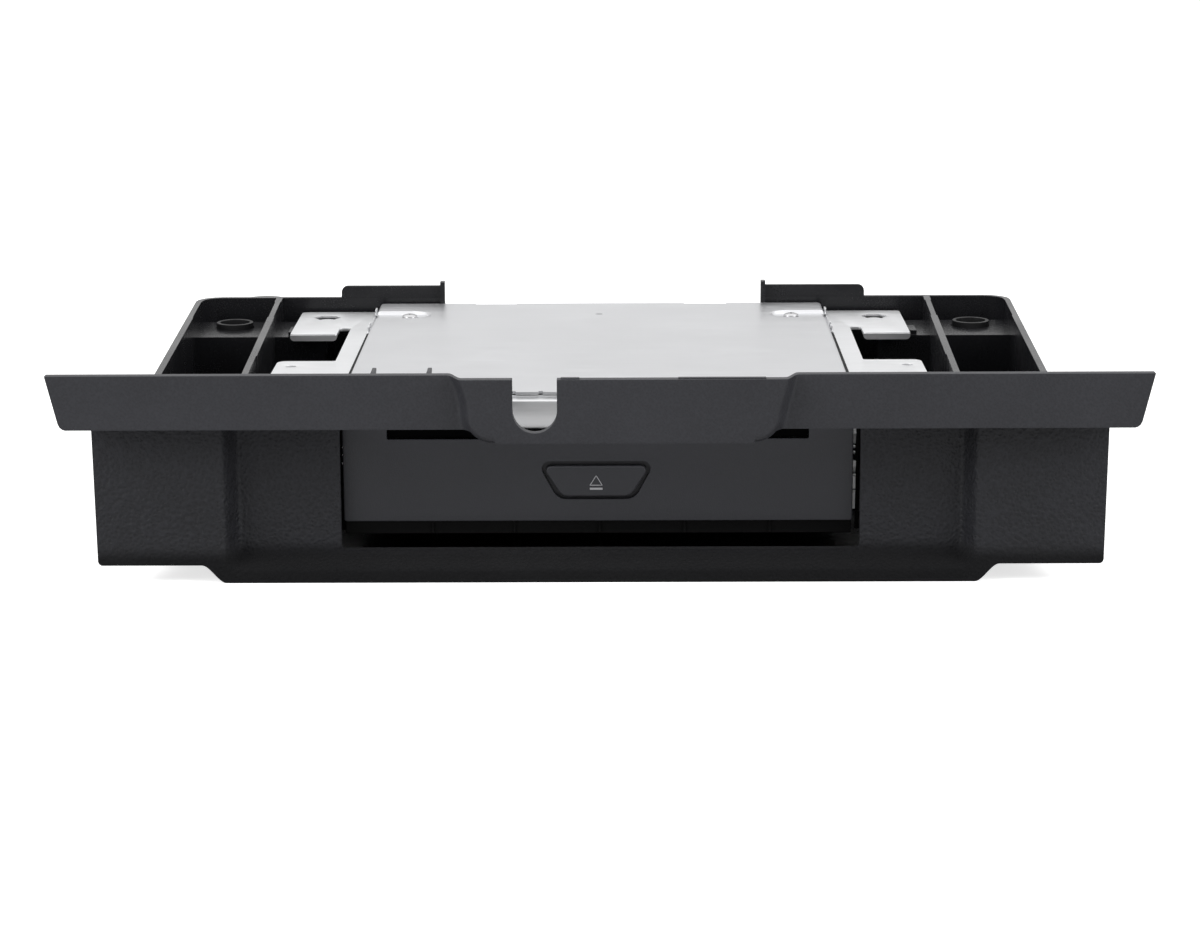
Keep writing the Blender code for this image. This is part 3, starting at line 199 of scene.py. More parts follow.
def printed_board(name):
    """Green solder mask with tracks and pads under it."""
    finish = Finish(name, Specular_IOR_Level=0.5, Coat_Roughness=0.15)
    tracks = finish.add("ShaderNodeTexVoronoi", {"feature": "DISTANCE_TO_EDGE"},
                        {"Vector": finish.place, "Scale": 240.0})
    line = finish.limited(Value(finish, tracks.outputs["Distance"]), 0.05, 0.09)
    finish.paint(Base_Color=finish.blend(line, (0.035, 0.19, 0.07), (0.012, 0.075, 0.028)),
                 Roughness=line * 0.1 + 0.3)
    finish.relief(line, 0.00003, 0.5)
    return finish.material


def clear_lens(name):
    """Coated lens glass with a faint violet bloom."""
    finish = Finish(name, Coat_Weight=1.0, Coat_Roughness=0.03, IOR=1.6)
    bloom = finish.limited(finish.noise(300, 2), 0.35, 0.7)
    finish.paint(Base_Color=finish.blend(bloom, (0.02, 0.03, 0.10), (0.06, 0.04, 0.16)),
                 Roughness=bloom * 0.05 + 0.05)
    return finish.material


finishes = {
    "console_plastic": moulded("grained_console_plastic", (0.0305, 0.0312, 0.0368),
                               1300, 0.00014, 0.50, 0.22),
    "carrier_plastic": moulded("carrier_moulding", (0.0125, 0.0127, 0.0145), 1100, 0.00003, 0.25),
    "panel_plastic": moulded("panel_moulding", (0.0335, 0.0342, 0.0400), 2200, 0.00003, 0.46, 0.08),
    "button_plastic": moulded("button_moulding", (0.0345, 0.0352, 0.0410), 2600, 0.00002, 0.40, 0.06),
    "zinc_sheet": rolled("zinc_plated_sheet", (0.84, 0.845, 0.855), 0.44, 90),
    "steel": rolled("machined_steel", (0.55, 0.55, 0.56), 0.30, 300, (1, 1, 6)),
    "motor_can": rolled("drawn_motor_can", (0.58, 0.58, 0.60), 0.34, 200, (1, 1, 6)),
    "white_plastic": moulded("nylon_moulding", (0.62, 0.62, 0.58), 1400, 0.00002, 0.42, 0.05),
    "black_plastic": moulded("black_moulding", (0.012, 0.012, 0.013), 1600, 0.00003, 0.45),
    "rubber": soft_rubber("dull_rubber", (0.010, 0.010, 0.011)),
    "circuit_board": printed_board("solder_mask_board"),
    "lens_glass": clear_lens("coated_lens"),
}

deep_black = moulded("shaded_black_moulding", (0.0022, 0.0022, 0.0024), 1800, 0.00002, 0.62, 0.1, sheen=0.15)
bright_sheet = rolled("plated_cover_sheet", (0.74, 0.745, 0.76), 0.36, 60)
# Painted shade: a darker copy of the console plastic for the wing plate under the flange, coarser in grain,
# with more painted shade towards its lower lip.
shaded_plate_plastic = moulded("coarse_grained_shaded_console_plastic", (0.0152, 0.0157, 0.0194), 820, 0.00050, 0.56, 0.45,
                        (0.0075, 0.0145))
# Painted shade: a near-black, almost sheenless black for the disc slot's flap and lips.
slot_shade_black = moulded("slot_painted_shade_black", (0.0012, 0.0012, 0.0014), 2400, 0.00003, 0.9, 0.1, sheen=0.02)
printed_white = moulded("printed_white_sign", (0.48, 0.48, 0.50), 3000, 0.000005, 0.5, 0.04)
slot_of = {part["node"]: part["material_slot"] for part in frame["record"]["subparts"]}
for node, thing in frame["nodes"].items():
    for slot in thing.material_slots:
        slot.material = finishes[slot_of[node]]
    thing.data.set_sharp_from_angle(angle=math.radians(30))
# The dust flap takes the near-black slot black: painted shade.
for slot in frame["nodes"]["dust_flap"].material_slots:
    slot.material = slot_shade_black


def settled(value, low, high):
    """0 below low, 1 above high and a smooth rise between."""
    share = min(max((value - low) / (high - low), 0.0), 1.0)
    return share * share * (3 - 2 * share)


def spaced(*stretches):
    """Places along a line: each stretch is (start, end, largest step), and the last end closes it."""
    places = []
    for start, end, step in stretches:
        count = max(1, math.ceil(abs(end - start) / step - 0.001))
        places += [start + (end - start) * i / count for i in range(count)]
    return places + [stretches[-1][1]]


def drawn_back(shape, faces, back, **how):
    """Pull faces along a vector into a closed body with its normals out."""
    pulled = bmesh.ops.extrude_face_region(shape, geom=faces, **how)["geom"]
    bmesh.ops.translate(shape, verts=[v for v in pulled if isinstance(v, bmesh.types.BMVert)], vec=back)
    bmesh.ops.recalc_face_normals(shape, faces=shape.faces)


def pressed(columns, rows, place, keep=None, back=None):
    """A grid laid out by place(column, row), some cells dropped, thickened along back."""
    shape = bmesh.new()
    wide, tall = len(columns) - 1, len(rows) - 1
    bmesh.ops.create_grid(shape, x_segments=wide, y_segments=tall, size=0.5)
    if keep:
        spare = []
        for face in shape.faces:
            middle = face.calc_center_median()
            i, j = int((middle.x + 0.5) * wide), int((middle.y + 0.5) * tall)
            if not keep((columns[i] + columns[i + 1]) / 2, (rows[j] + rows[j + 1]) / 2):
                spare.append(face)
        bmesh.ops.delete(shape, geom=spare, context="FACES")
    for vertex in shape.verts:
        i, j = round((vertex.co.x + 0.5) * wide), round((vertex.co.y + 0.5) * tall)
        vertex.co = Vector(place(columns[i], rows[j]))
    if back:
        drawn_back(shape, shape.faces[:], back)
    bmesh.ops.recalc_face_normals(shape, faces=shape.faces)
    return shape


def slab(shape, low, high):
    """A box between two corners, added to a shape; gives its vertices."""
    made = bmesh.ops.create_cube(shape, size=1.0)["verts"]
    bmesh.ops.scale(shape, verts=made, vec=[b - a for a, b in zip(low, high)])
    bmesh.ops.translate(shape, verts=made, vec=[(a + b) / 2 for a, b in zip(low, high)])
    return made


def cut_out(shape, points, back):
    """A flat outline of points in space, added to a shape and pulled along back."""
    face = shape.faces.new([shape.verts.new(point) for point in points])
    drawn_back(shape, [face], back)


def eased(shape, width, segments=2, sharpest=50, wanted=None):
    """Round off the edges that are sharper than an angle."""
    limit = math.radians(sharpest)
    edges = [e for e in shape.edges if e.is_manifold and e.calc_face_angle() > limit
             and (wanted is None or wanted(e))]
    bmesh.ops.bevel(shape, geom=edges, offset=width, offset_type="OFFSET", segments=segments, profile=0.5,
                    affect="EDGES", clamp_overlap=True, material=-1)


def arc_rise(distance, radius):
    """Height of a round corner's edge at a distance into it."""
    inside = min(max(distance, 0.0), radius)
    return radius - math.sqrt(radius * radius - inside * inside)


def rounded(corners, bends, steps=5):
    """Outline points with each corner turned into an arc of its own radius."""
    points = []
    for index, (here, bend) in enumerate(zip(corners, bends)):
        corner = Vector(here)
        if not bend:
            points.append(corner)
            continue
        one = (Vector(corners[index - 1]) - corner).normalized()
        two = (Vector(corners[(index + 1) % len(corners)]) - corner).normalized()
        half = one.angle(two) / 2
        centre = corner + (one + two).normalized() * bend / math.sin(half)
        first = corner + one * bend / math.tan(half) - centre
        last = corner + two * bend / math.tan(half) - centre
        whole = first.angle(last)
        for step in range(steps + 1):
            share = step / steps
            mix = (first * math.sin((1 - share) * whole) + last * math.sin(share * whole)) / math.sin(whole)
            points.append(centre + mix)
    return points


def framed(shape, corners, bends, holes, lay, back):
    """A flat face with round corners and holes, laid in space and pulled along back."""
    rings = [rounded(corners, bends)]
    for (x, y), wide, tall, points in holes:
        turns = [2 * math.pi * i / points for i in range(points)]
        rings.append([(x + wide / 2 * math.cos(t), y + tall / 2 * math.sin(t)) for t in turns])
    loops = []
    for ring in rings:
        around = [shape.verts.new((x, y, 0)) for x, y in ring]
        loops += [shape.edges.new((around[i - 1], around[i])) for i in range(len(around))]
    made = bmesh.ops.triangle_fill(shape, use_beauty=True, use_dissolve=False, normal=(0, 0, 1),
                                   edges=loops)["geom"]
    flat = [item for item in made if isinstance(item, bmesh.types.BMFace)]
    if not holes:
        flat = bmesh.ops.dissolve_limit(shape, angle_limit=0.01,
                                        verts=list({v for f in flat for v in f.verts}),
                                        edges=list({e for f in flat for e in f.edges}))["region"]
    for vertex in {v for f in flat for v in f.verts}:
        vertex.co = Vector(lay(vertex.co.x, vertex.co.y))
    drawn_back(shape, flat, back, use_keep_orig=True)


def sheeted(shape, sheet):
    """Give an upward sheet its thickness on the lower side."""
    top = max(shape.faces, key=lambda f: f.calc_area() * abs(f.normal.z))
    if top.normal.z < 0:
        bmesh.ops.reverse_faces(shape, faces=shape.faces[:])
    height = max(v.co.z for v in shape.verts)
    bmesh.ops.solidify(shape, geom=shape.faces[:], thickness=sheet)
    if max(v.co.z for v in shape.verts) > height + sheet / 2:
        raise ValueError("the sheet grew upwards")


def bored(piece, cutter):
    """Cut a shape out of a piece for good."""
    mesh = bpy.data.meshes.new("cutter")
    cutter.to_mesh(mesh)
    cutter.free()
    tool = bpy.data.objects.new("cutter", mesh)
    bpy.context.collection.objects.link(tool)
    cut = piece.modifiers.new("cut", "BOOLEAN")
    cut.operation, cut.object, cut.solver = "DIFFERENCE", tool, "EXACT"
    opened = bpy.data.meshes.new_from_object(piece.evaluated_get(bpy.context.evaluated_depsgraph_get()))
    piece.modifiers.clear()
    piece.data = opened
    bpy.data.objects.remove(tool)


def softened(node, name, width):
    """A merged copy of a CAD node with its sharp edges rounded off, in the node's place."""
    shape = bmesh.new()
    shape.from_mesh(frame["nodes"][node].data)
    bmesh.ops.remove_doubles(shape, verts=shape.verts, dist=0.000002)
    bmesh.ops.dissolve_limit(shape, angle_limit=math.radians(0.4), verts=shape.verts[:], edges=shape.edges[:])
    eased(shape, width, sharpest=34)
    piece = made_piece(name, shape, slot_of[node], frame["nodes"][node]["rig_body"])
    piece.modifiers.new("even_shading", "WEIGHTED_NORMAL").keep_sharp = True
    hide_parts(node)


def made_piece(name, shape, slot, body="housing", surface=None):
    """Turn a shape into a finished piece on a CAD body."""
    mesh = bpy.data.meshes.new(name)
    shape.to_mesh(mesh)
    shape.free()
    mesh.shade_smooth()
    mesh.set_sharp_from_angle(angle=math.radians(32))
    mesh.materials.append(surface if surface else finishes[slot])
    piece = bpy.data.objects.new(name, mesh)
    bpy.context.collection.objects.link(piece)
    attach(piece, body)
    return piece


flange_top, flange_low, flange_face = 0.0752, 0.0565, -0.11075
tongue_low, tongue_step = 0.0528, 0.006
notch_middle, notch_round = -0.0217, 0.0075
notch_spring = flange_top - 0.0188 + notch_round
left_round, right_round, tongue_round = Vector((-0.0360, 0.0620)), Vector((0.0520, 0.0620)), 0.0092


def inside_tongue(x, z):
    """How far a place lies inside the tongue's outline."""
    lift = max(z - 0.0620, 0.0) / (flange_top - 0.0620)
    if z < 0.0620 and x < left_round.x:
        return tongue_round - (Vector((x, z)) - left_round).length
    if z < 0.0620 and x > right_round.x:
        return tongue_round - (Vector((x, z)) - right_round).length
    left = left_round.x - tongue_round - 0.0034 * lift * lift
    right = right_round.x + tongue_round + 0.0034 * lift
    return min(x - left, right - x)


def flange_hem(x):
    """Height of the flange's lower edge, which drops along the tongue."""
    if left_round.x <= x <= right_round.x:
        return tongue_low
    near = left_round if x < left_round.x else right_round
    reach = tongue_round ** 2 - (x - near.x) ** 2
    return min(flange_low, near.y - math.sqrt(reach)) if reach > 0 else flange_low


def flange():
    """The long grained flange with its forward tongue and the open notch in it."""
    half, lean, flange_bend = 0.187, 0.0045, 0.0022
    notch_left, notch_right = notch_middle - notch_round, notch_middle + notch_round
    columns = spaced((-half, -0.1848, 0.0003), (-0.1848, -0.170, 0.003), (-0.170, -0.058, 0.007),
                     (-0.058, -0.0520, 0.001), (-0.0520, -0.0360, 0.0004), (-0.0360, notch_left, 0.0012))
    columns = columns[:-1] + [notch_middle - notch_round * math.cos(math.pi * i / 16) for i in range(16)]
    columns += spaced((notch_right, 0.050, 0.006), (0.050, 0.069, 0.0004), (0.069, 0.075, 0.001),
                      (0.075, 0.170, 0.007), (0.170, 0.1848, 0.003), (0.1848, half, 0.0003))
    rows = spaced((0.0, 1.0, 0.1), (1.0, 2.0, 0.1))

    def place(x, row):
        low = flange_hem(x) + arc_rise(abs(x) - half + flange_bend, flange_bend)
        spring = notch_spring
        if notch_left < x < notch_right and row <= 1.0:
            spring = notch_spring - math.sqrt(max(notch_round ** 2 - (x - notch_middle) ** 2, 0.0))
        crest = flange_top - 0.0005 * settled(inside_tongue(x, flange_top), -0.0020, 0.0020)
        z = low + (spring - low) * row if row <= 1.0 else notch_spring + (crest - notch_spring) * (row - 1)
        fall = 1 - (z - flange_low) / (flange_top - flange_low)
        swing = lean * max(fall, 0.0) * settled(abs(x), 0.150, half)
        y = flange_face - tongue_step * settled(inside_tongue(x, z), -0.0026, 0.0020)
        return x - math.copysign(swing, x), y, z

    shape = pressed(columns, rows, place, lambda x, row: not (notch_left < x < notch_right and row > 1.0),
                    (0, 0.004, 0))
    eased(shape, 0.00065, 3)
    piece = made_piece("console_flange", shape, "console_plastic")
    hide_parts("fascia")


plate_face, recess_face, plate_wall = -0.09875, -0.09075, 0.0025
plate_top, wing_low, window_half, window_sill = 0.0646, 0.0063, 0.0898, 0.0100


def plate_hem(x):
    """Height of the plate's lower edge, which steps down in a soft S at both ends of the lip."""
    return wing_low * settled(abs(x), 0.1290, 0.1375)


def inside_recess(x, z):
    """How far a place lies inside the recess, whose lower corners are round."""
    bend = 0.0065
    across, up = 0.1298 - abs(x), z - 0.0040
    if across < bend and up < bend:
        return bend - math.hypot(bend - across, bend - up)
    return min(across, up)


def wing_plate():
    """The grained plate with its soft edged recess and the window for the deck, coloured darker than the
    flange as painted shade.
    """
    half, lean, plate_bend, sill_bend = 0.174, 0.0008, 0.0016, 0.0014
    side = spaced((0.0925, 0.1210, 0.006), (0.1210, 0.1400, 0.0005), (0.1400, 0.170, 0.006),
                  (0.170, 0.1724, 0.0024), (0.1724, half, 0.0002))
    side = spaced((window_half, 0.0925, 0.0009))[:-1] + side
    span = spaced((-window_half, -0.0884, 0.0002), (-0.0884, 0.0884, 0.009), (0.0884, window_half, 0.0002))
    columns = [-x for x in reversed(side)] + span[1:-1] + side
    rows = spaced((0.0, 1.0, 0.05), (1.0, 2.0, 0.08))

    def place(x, row):
        low = plate_hem(x) + arc_rise(abs(x) - half + plate_bend, plate_bend)
        beside = settled(abs(x), window_half, window_half + 0.0035)
        sill = window_sill + arc_rise(abs(x) - window_half + sill_bend, sill_bend) * (1 - beside)
        z = low + (sill - low) * row if row <= 1 else sill + (plate_top - sill) * (row - 1)
        swing = lean * (1 - z / plate_top) * settled(abs(x), 0.150, half)
        y = plate_face + (recess_face - plate_face) * settled(inside_recess(x, z), 0.0, 0.0055)
        return x - math.copysign(swing, x), y, z

    shape = pressed(columns, rows, place, lambda x, row: not (abs(x) < window_half and row > 1.0),
                    (0, plate_wall, 0))
    eased(shape, 0.0004, 2)
    # The plate takes the darker shaded copy of the console plastic: painted shade.
    made_piece("console_wing_plate", shape, "console_plastic", surface=shaded_plate_plastic)


def flange_backing():
    """Shelves that join flange to plate, gussets behind the flange and the screw bosses."""
    shape = bmesh.new()
    for side in (-1, 1):
        near, far = sorted((side * 0.0920, side * 0.1700))
        slab(shape, (near, -0.1070, 0.0620), (far, -0.0966, 0.0643))
        near, far = sorted((side * 0.0920, side * 0.1245))
        slab(shape, (near, -0.0968, 0.0598), (far, -0.0890, 0.0618))
        for height in (0.018, 0.047):
            spot = Matrix.Translation((side * 0.146, -0.0932, height)) @ Matrix.Rotation(math.pi / 2, 4, "X")
            bmesh.ops.create_cone(shape, cap_ends=True, segments=28, radius1=0.0032, radius2=0.0030,
                                  depth=0.0062, matrix=spot)
    for x in (-0.077, -0.058):
        cut_out(shape, [(x - 0.00075, -0.1072, 0.0602), (x - 0.00075, -0.1072, 0.0745),
                        (x - 0.00075, -0.0928, 0.0745)], (0.0015, 0, 0))
    for near, far in ((-0.0130, -0.0066), (0.0264, 0.0560)):
        slab(shape, (near, flange_face - tongue_step + 0.0009, flange_top - 0.0012),
             (far, flange_face - tongue_step + 0.0030, flange_top - 0.00005))
    eased(shape, 0.0003, 2)
    made_piece("console_flange_ribs", shape, "console_plastic")


def studio():
    """Pale floor, white surround and soft lamps."""
    floor_mesh = bmesh.new()
    bmesh.ops.create_grid(floor_mesh, x_segments=1, y_segments=1, size=6.0)
    mesh = bpy.data.meshes.new("studio_floor")
    floor_mesh.to_mesh(mesh)
    floor_mesh.free()
    floor = bpy.data.objects.new("studio_floor", mesh)
    bpy.context.collection.objects.link(floor)
    pale = bpy.data.materials.new("studio_floor")
    pale.use_nodes = True
    nodes, links = pale.node_tree.nodes, pale.node_tree.links
    nodes.clear()
    path = nodes.new("ShaderNodeLightPath")
    mirrored = nodes.new("ShaderNodeMath")
    mirrored.operation = "MULTIPLY"
    mirrored.inputs[1].default_value = 0.12
    links.new(path.outputs["Is Glossy Ray"], mirrored.inputs[0])
    seen = nodes.new("ShaderNodeMath")
    seen.operation = "MULTIPLY_ADD"
    seen.inputs[1].default_value = 0.72
    links.new(path.outputs["Is Camera Ray"], seen.inputs[0])
    links.new(mirrored.outputs[0], seen.inputs[2])
    glow = nodes.new("ShaderNodeEmission")
    links.new(seen.outputs[0], glow.inputs["Strength"])
    matt = nodes.new("ShaderNodeBsdfDiffuse")
    shade = nodes.new("ShaderNodeMapRange")
    shade.inputs["To Min"].default_value = 0.46
    shade.inputs["To Max"].default_value = 0.80
    links.new(path.outputs["Is Camera Ray"], shade.inputs["Value"])
    links.new(shade.outputs[0], matt.inputs["Color"])
    mixed = nodes.new("ShaderNodeAddShader")
    end = nodes.new("ShaderNodeOutputMaterial")
    links.new(matt.outputs[0], mixed.inputs[0])
    links.new(glow.outputs[0], mixed.inputs[1])
    links.new(mixed.outputs[0], end.inputs["Surface"])
    mesh.materials.append(pale)

    world = bpy.data.worlds.new("studio_air")
    bpy.context.scene.world = world
    world.use_nodes = True
    nodes, links = world.node_tree.nodes, world.node_tree.links
    nodes.clear()
    path = nodes.new("ShaderNodeLightPath")
    seen = nodes.new("ShaderNodeMath")
    seen.operation = "MAXIMUM"
    links.new(path.outputs["Is Camera Ray"], seen.inputs[0])
    links.new(path.outputs["Is Transmission Ray"], seen.inputs[1])
    direction = nodes.new("ShaderNodeTexCoord")
    parts = nodes.new("ShaderNodeSeparateXYZ")
    links.new(direction.outputs["Generated"], parts.inputs[0])
    behind = nodes.new("ShaderNodeMapRange")
    for socket, value in (("From Min", -0.6), ("From Max", 0.5), ("To Min", 0.40), ("To Max", 0.80)):
        behind.inputs[socket].default_value = value
    links.new(parts.outputs["Y"], behind.inputs["Value"])
    level = nodes.new("ShaderNodeMix")
    level.inputs["A"].default_value = 0.44
    links.new(path.outputs["Is Glossy Ray"], level.inputs["Factor"])
    links.new(behind.outputs[0], level.inputs["B"])
    also = nodes.new("ShaderNodeMath")
    also.operation = "MAXIMUM"
    links.new(level.outputs["Result"], also.inputs[0])
    links.new(seen.outputs[0], also.inputs[1])
    air = nodes.new("ShaderNodeBackground")
    air.inputs["Color"].default_value = (1.0, 1.0, 1.0, 1.0)
    links.new(also.outputs[0], air.inputs["Strength"])
    end = nodes.new("ShaderNodeOutputWorld")
    links.new(air.outputs[0], end.inputs["Surface"])

    lamps = (
        ("lamp_above", (0.0, 0.10, 1.50), (0.0, 0.0, 0.04), 3.2, 26.0),
        ("lamp_left", (-1.30, -0.75, 0.85), (0.0, -0.05, 0.04), 0.9, 11.0),
        ("lamp_right", (1.30, -0.75, 0.85), (0.0, -0.05, 0.04), 0.9, 9.0),
    )
    for name, place, aim, size, power in lamps:
        light = bpy.data.lights.new(name, "AREA")
        light.size = size
        light.energy = power
        lamp = bpy.data.objects.new(name, light)
        lamp.location = place
        lamp.rotation_euler = (Vector(aim) - Vector(place)).to_track_quat("-Z", "Y").to_euler()
        bpy.context.collection.objects.link(lamp)


def photographer():
    """The camera at the photograph's distance, height and slight roll."""
    pitch = math.radians(12.65)
    yaw = math.atan2(22 * math.cos(pitch), 3119)
    roll = math.radians(0.25)
    ahead = Vector((-math.sin(yaw) * math.cos(pitch), math.cos(yaw) * math.cos(pitch), -math.sin(pitch)))
    right = Vector((math.cos(yaw), math.sin(yaw), 0))
    down = ahead.cross(right)
    across = math.cos(roll) * right + math.sin(roll) * down
    below = math.cos(roll) * down - math.sin(roll) * right
    data = bpy.data.cameras.new("camera")
    data.sensor_width = 36
    data.lens = 3119 / 1200 * 36
    data.clip_start = 0.05
    eye = bpy.data.objects.new("camera", data)
    turn = Matrix((across, -below, -ahead)).transposed()
    eye.matrix_world = Matrix.Translation((0.0072, -1.14015, 0.2754)) @ turn.to_4x4()
    bpy.context.collection.objects.link(eye)
    bpy.context.scene.camera = eye


deck_x, deck_y, deck_z = -0.0008, -0.07875, 0.013
gap_shade_x = 0.0916
screw_x, screw_y, screw_z = 0.0755, deck_y + 0.157, 0.0622
panel_face, panel_back = -0.08675, -0.07845


def front_panel():
    """The deck's dark front: skin with the button's opening, rim, side ears and lower skirt, the skirt
    near-black as painted shade.
    """
    left, right = deck_x - 0.0883, deck_x + 0.0883
    slot_left, slot_right, sill, top, low = deck_x - 0.073, deck_x + 0.073, 0.0478, 0.0555, 0.0189
    outer = [(left, low), (right, low), (right, top), (slot_right, top), (slot_right, sill),
             (slot_left, sill), (slot_left, top), (left, top)]
    bends = [0.0010, 0.0010, 0, 0, 0.0006, 0.0006, 0, 0]
    skin = 0.0020
    inside = panel_face + skin
    shape = bmesh.new()
    framed(shape, outer, bends, [], lambda x, z: (x, panel_face, z), (0, skin, 0))
    eased(shape, 0.00035, 3, wanted=lambda e: all(
        v.co.y < panel_face + 0.0002 and (v.co.z < sill - 0.001 or abs(v.co.x - deck_x) > 0.088)
        for v in e.verts))
    panel = made_piece("deck_front_panel", shape, "panel_plastic")
    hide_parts("front_panel")
    well = bmesh.new()
    button_outline(well, 0.0017, panel_face - 0.001, 0.0045, 0.0003)
    bored(panel, well)
    rim = bmesh.new()
    slab(rim, (left + 0.0002, inside, low + 0.0003), (right - 0.0002, panel_back, low + 0.0020))
    slab(rim, (left + 0.0002, inside, low), (left + 0.0020, panel_back, top - 0.0004))
    slab(rim, (right - 0.0020, inside, low), (right - 0.0002, panel_back, top - 0.0004))
    for side in (slot_left - 0.0020, slot_right + 0.0002):
        slab(rim, (side, inside, sill - 0.001), (side + 0.0018, panel_back, top - 0.0004))
    eased(rim, 0.0002, 1)
    made_piece("deck_front_panel_rim", rim, "panel_plastic")
    # The lower skirt is coloured in the shaded black: painted shade below the panel.
    skirt = bmesh.new()
    slab(skirt, (slot_left - 0.0019, inside + 0.0001, sill - 0.0024),
         (slot_right + 0.0019, panel_back, sill - 0.0004))
    slab(skirt, (slot_left + 0.0002, panel_back - 0.0008, sill - 0.0002),
         (slot_right - 0.0002, panel_back, sill + 0.0006))
    slab(skirt, (left + 0.0001, panel_back - 0.0035, 0.0133), (right - 0.0001, panel_back, low + 0.0004))
    for x in (-0.0577, -0.0292, 0.0005, 0.0301, 0.0598):
        slab(skirt, (deck_x + x - 0.0005, panel_back - 0.0045, 0.0136),
             (deck_x + x + 0.0005, panel_back - 0.0034, low + 0.0002))
    eased(skirt, 0.0002, 1)
    made_piece("deck_front_panel_shaded_skirt", skirt, "panel_plastic", surface=deep_black)
    # Near-black lips in the disc slot: painted shade.
    lips = bmesh.new()
    for base, crest in ((sill - 0.0003, sill + 0.0004), (sill + 0.0008, sill + 0.0034)):
        slab(lips, (slot_left + 0.0001, inside - 0.0008, base),
             (slot_right - 0.0001, inside - 0.0001, crest))
    made_piece("slot_lips_painted_shade", lips, "panel_plastic", surface=slot_shade_black)
    bar, bar_left, bar_right, bar_top = bmesh.new(), slot_left + 0.0004, slot_right - 0.0004, 0.0610
    slab(bar, (bar_left, inside + 0.0002, sill + 0.0034), (bar_right, inside + 0.0012, bar_top))
    slab(bar, (bar_left, inside + 0.0010, bar_top - 0.0010), (bar_right, deck_y + 0.0004, bar_top))
    eased(bar, 0.0003, 2)
    made_piece("front_cross_bar", bar, "zinc_sheet")


button_x, button_z = deck_x - 0.0006, deck_z + 0.0201


def button_outline(shape, margin, front, depth, rise=0.0):
    """The button's outline, wider at the top, grown by a margin, raised and pulled back."""
    wide, narrow, tall = 0.0190 + margin, 0.0120 + margin * 0.8, 0.0055 + margin * 0.75
    corners = [(button_x - wide, button_z + tall + rise), (button_x - narrow, button_z - tall + rise),
               (button_x + narrow, button_z - tall + rise), (button_x + wide, button_z + tall + rise)]
    top, low = 0.0018 + margin / 2, 0.0042 + margin / 2
    framed(shape, corners, [top, low, low, top], [], lambda x, z: (x, front, z), (0, depth, 0))


def eject_button():
    """The crowned button with its rim, its stem and the printed sign on its face."""
    face = panel_face - 0.0008
    shape = bmesh.new()
    button_outline(shape, -0.0002, face, 0.0028)
    eased(shape, 0.0007, 4, wanted=lambda e: all(v.co.y < face + 0.0002 for v in e.verts))
    button_outline(shape, 0.0026, panel_face + 0.0024, 0.0010, 0.0003)
    slab(shape, (button_x - 0.0020, panel_face + 0.0030, button_z - 0.0020),
         (button_x + 0.0020, panel_face + 0.0040, button_z + 0.0020))
    button = made_piece("eject_button_cap", shape, "button_plastic", "eject_button")
    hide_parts("eject_button")
    sign = bmesh.new()
    apex, base, half = button_z + 0.0021, button_z - 0.0013, 0.0021
    for stroke in (((0, apex), (-half, base)), ((-half, base), (half, base)), ((half, base), (0, apex))):
        (x1, z1), (x2, z2) = stroke
        length = math.hypot(x2 - x1, z2 - z1)
        bar = slab(sign, (-length / 2 - 0.0001, -0.00003, -0.00012), (length / 2 + 0.0001, 0.00003, 0.00012))
        bmesh.ops.rotate(sign, verts=bar, matrix=Matrix.Rotation(-math.atan2(z2 - z1, x2 - x1), 3, "Y"))
        bmesh.ops.translate(sign, verts=bar, vec=(button_x + (x1 + x2) / 2, face - 0.00001, (z1 + z2) / 2))
    slab(sign, (button_x - 0.0022, face - 0.00004, button_z - 0.0029),
         (button_x + 0.0022, face + 0.00002, button_z - 0.0022))
    made_piece("eject_sign", sign, "white_plastic", "eject_button", printed_white)


